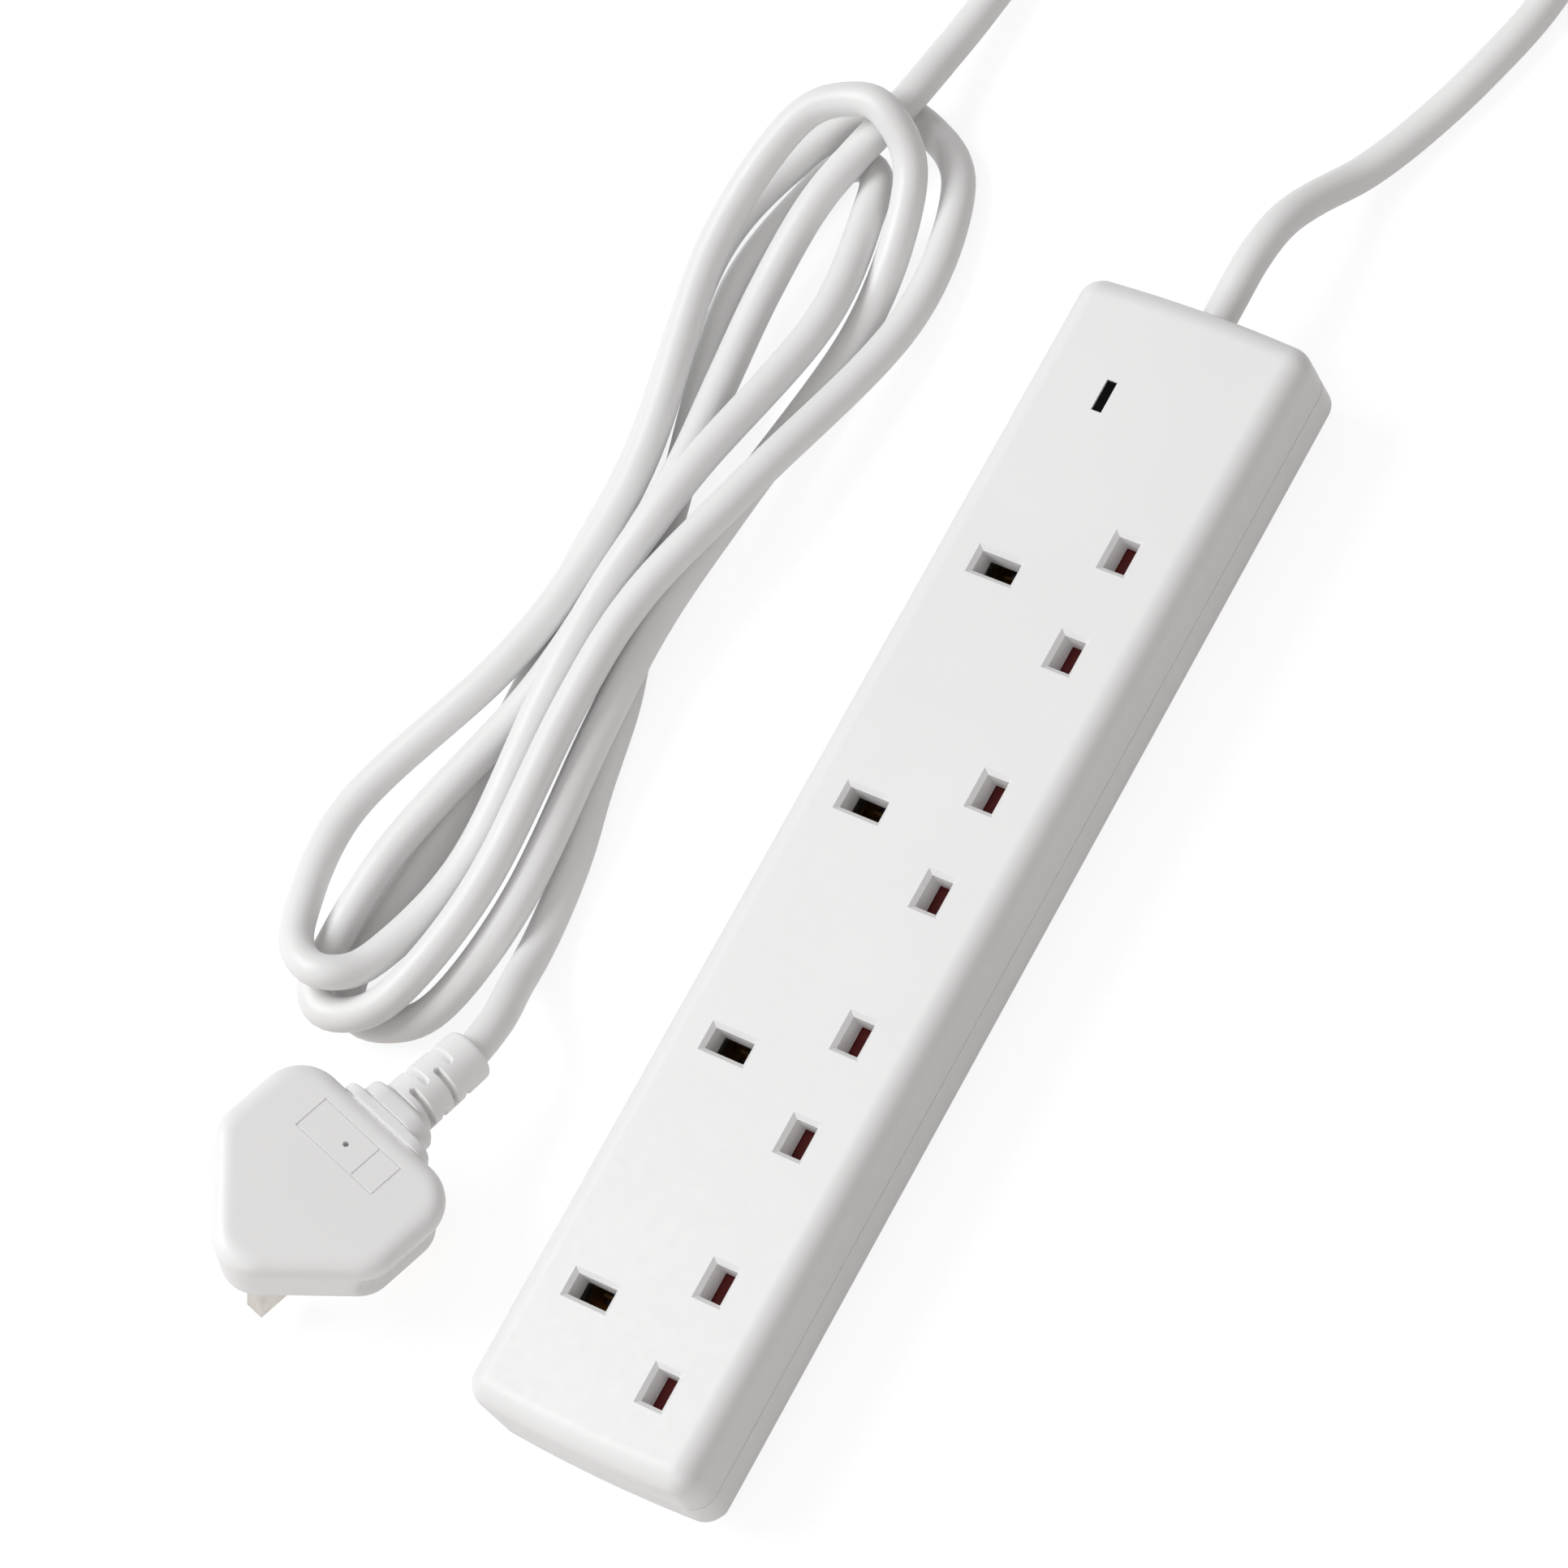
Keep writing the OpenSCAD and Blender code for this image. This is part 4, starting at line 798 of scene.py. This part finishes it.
def make_base():
    """The CAD base with the corners of its slope rounded off."""
    foot = UNDER_IN + BASE_TRIM
    profile = ((-1, foot), (0, foot), (UNDER_H, BASE_TRIM), (BODY_H, BASE_TRIM))
    form = solid("base_form", *closed(drawn_in(profile)))
    face_outward(form)
    node = frame["nodes"]["base_cover"]
    mesh = node.data.copy()
    mesh.transform(node.matrix_world)
    base = bpy.data.objects.new("base_moulding", mesh)
    bpy.context.scene.collection.objects.link(base)
    bm = bmesh.new()
    bm.from_mesh(mesh)
    bmesh.ops.remove_doubles(bm, verts=bm.verts, dist=1e-6)
    bm.to_mesh(mesh)
    bm.free()
    mesh.materials.clear()
    mesh.materials.append(MAT["shell"])
    combine(base, form, "INTERSECT")
    shade_by_angle(base, 30)
    return stand_in(base, "base_cover")


# ---- shutter springs ----

SPRING_D = 3.2
SPRING_WIRE = 0.5
SPRING_TURNS = 7
SPRING_SIDES = 8
TURN_STEPS = 20
SPRING_SEAT_Y = -22.1
SPRING_END_Y = -1.45
SPRING_Z = 23.6


def make_spring(number):
    """The spring at its length at rest, drawn fixed; it is not shortened as the shutter opens."""
    node = f"shutter_spring_{number}"
    low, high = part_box(node)
    x0 = (low.x + high.x) / 2 / MM
    r = (SPRING_D - SPRING_WIRE) / 2
    y0, y1 = SPRING_SEAT_Y + SPRING_WIRE / 2, SPRING_END_Y - SPRING_WIRE / 2
    steps = SPRING_TURNS * TURN_STEPS
    path = []
    for i in range(steps + 1):
        a = 2 * math.pi * i / TURN_STEPS
        y = y0 + (y1 - y0) * i / steps
        path.append(Vector((x0 + r * math.cos(a), y, SPRING_Z + r * math.sin(a))) * MM)
    verts, faces = tube(path, SPRING_WIRE / 2 * MM, SPRING_SIDES)
    spring = new_piece(f"spring_{number}", verts, faces, "steel")
    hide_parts(node)
    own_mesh(spring)


# ---- the pieces, in place ----

plug_moulding = make_plug()
relief_moulding = make_relief()
make_flex()
for spring_number in range(1, 5):
    make_spring(spring_number)
make_cover()
make_base()


# ---- floor, light ----

# The floor shows white where it is lit, and a little less in the object's shadow
FLOOR_GLOW = 0.86
FLOOR_SHADE = 0.22
FLOOR_BOUNCE = (0.6, 0.575, 0.565)
FLOOR_REACH = 6.0
FLOOR_DROP = 0.0002


def make_floor():
    """A pale floor that keeps the object's shadow."""
    mesh = bpy.data.meshes.new("floor")
    corners = [(x * FLOOR_REACH, y * FLOOR_REACH, 0) for x, y in ((-1, -1), (1, -1), (1, 1), (-1, 1))]
    mesh.from_pydata(corners, [], [(0, 1, 2, 3)])
    floor = bpy.data.objects.new("floor", mesh)
    bpy.context.scene.collection.objects.link(floor)
    floor.location.z = -FLOOR_DROP
    s = Shade("floor_white")
    s.bsdf.inputs["Base Color"].default_value = (*FLOOR_BOUNCE, 1)
    s.bsdf.inputs["Roughness"].default_value = 0.9
    out = s.nodes["Material Output"]
    path = s.nodes.new("ShaderNodeLightPath")
    glow = s.node("Emission", {"Color": (1, 1, 1, 1), "Strength": FLOOR_GLOW})
    shaded = s.node("BsdfDiffuse", {"Color": (*[FLOOR_SHADE] * 3, 1)})
    lit = s.nodes.new("ShaderNodeAddShader")
    s.links.new(glow.outputs[0], lit.inputs[0])
    s.links.new(shaded.outputs[0], lit.inputs[1])
    mix = s.nodes.new("ShaderNodeMixShader")
    seen = path.outputs["Is Camera Ray"]
    for kind in ("Is Glossy Ray", "Is Transmission Ray"):
        seen = s.node("Math", {0: seen, 1: path.outputs[kind]}, operation="MAXIMUM").outputs[0]
    s.links.new(seen, mix.inputs[0])
    s.links.new(s.bsdf.outputs[0], mix.inputs[1])
    s.links.new(lit.outputs[0], mix.inputs[2])
    s.links.new(mix.outputs[0], out.inputs[0])
    mesh.materials.append(s.mat)


def area(name, at, size, power):
    """A soft lamp turned to the middle of the frame."""
    data = bpy.data.lights.new(name, "AREA")
    data.shape = "RECTANGLE"
    data.size, data.size_y = size
    data.energy = power
    lamp = bpy.data.objects.new(name, data)
    bpy.context.scene.collection.objects.link(lamp)
    lamp.location = at
    lamp.rotation_euler = (-Vector(at)).to_track_quat("-Z", "Y").to_euler()


ROOM_LIGHT = 0.42
ROOM_FROM, ROOM_TO = -0.8, 0.3
ROOM_DIM = (0.86, 0.82, 0.81)


def make_room():
    """A pale room, dimmer and a little warmer towards -Y."""
    world = bpy.data.worlds.new("world")
    bpy.context.scene.world = world
    world.use_nodes = True
    tree = world.node_tree
    back = tree.nodes["Background"]
    facing = tree.nodes.new("ShaderNodeSeparateXYZ")
    tree.links.new(tree.nodes.new("ShaderNodeTexCoord").outputs["Generated"], facing.inputs[0])
    room = tree.nodes.new("ShaderNodeMapRange")
    room.inputs["From Min"].default_value = ROOM_FROM
    room.inputs["From Max"].default_value = ROOM_TO
    tree.links.new(facing.outputs["Y"], room.inputs["Value"])
    tint = tree.nodes.new("ShaderNodeMix")
    tint.data_type = "RGBA"
    tint.inputs["A"].default_value = (*ROOM_DIM, 1)
    tint.inputs["B"].default_value = (1, 1, 1, 1)
    tree.links.new(room.outputs["Result"], tint.inputs["Factor"])
    tree.links.new(tint.outputs["Result"], back.inputs["Color"])
    back.inputs["Strength"].default_value = ROOM_LIGHT


make_floor()
area("key", (-0.3, 1.3, 1.9), (1.4, 1.0), 33)
area("fill", (-1.6, -0.5, 1.2), (1.2, 1.2), 7)
make_room()

bpy.context.scene.view_settings.view_transform = "Standard"
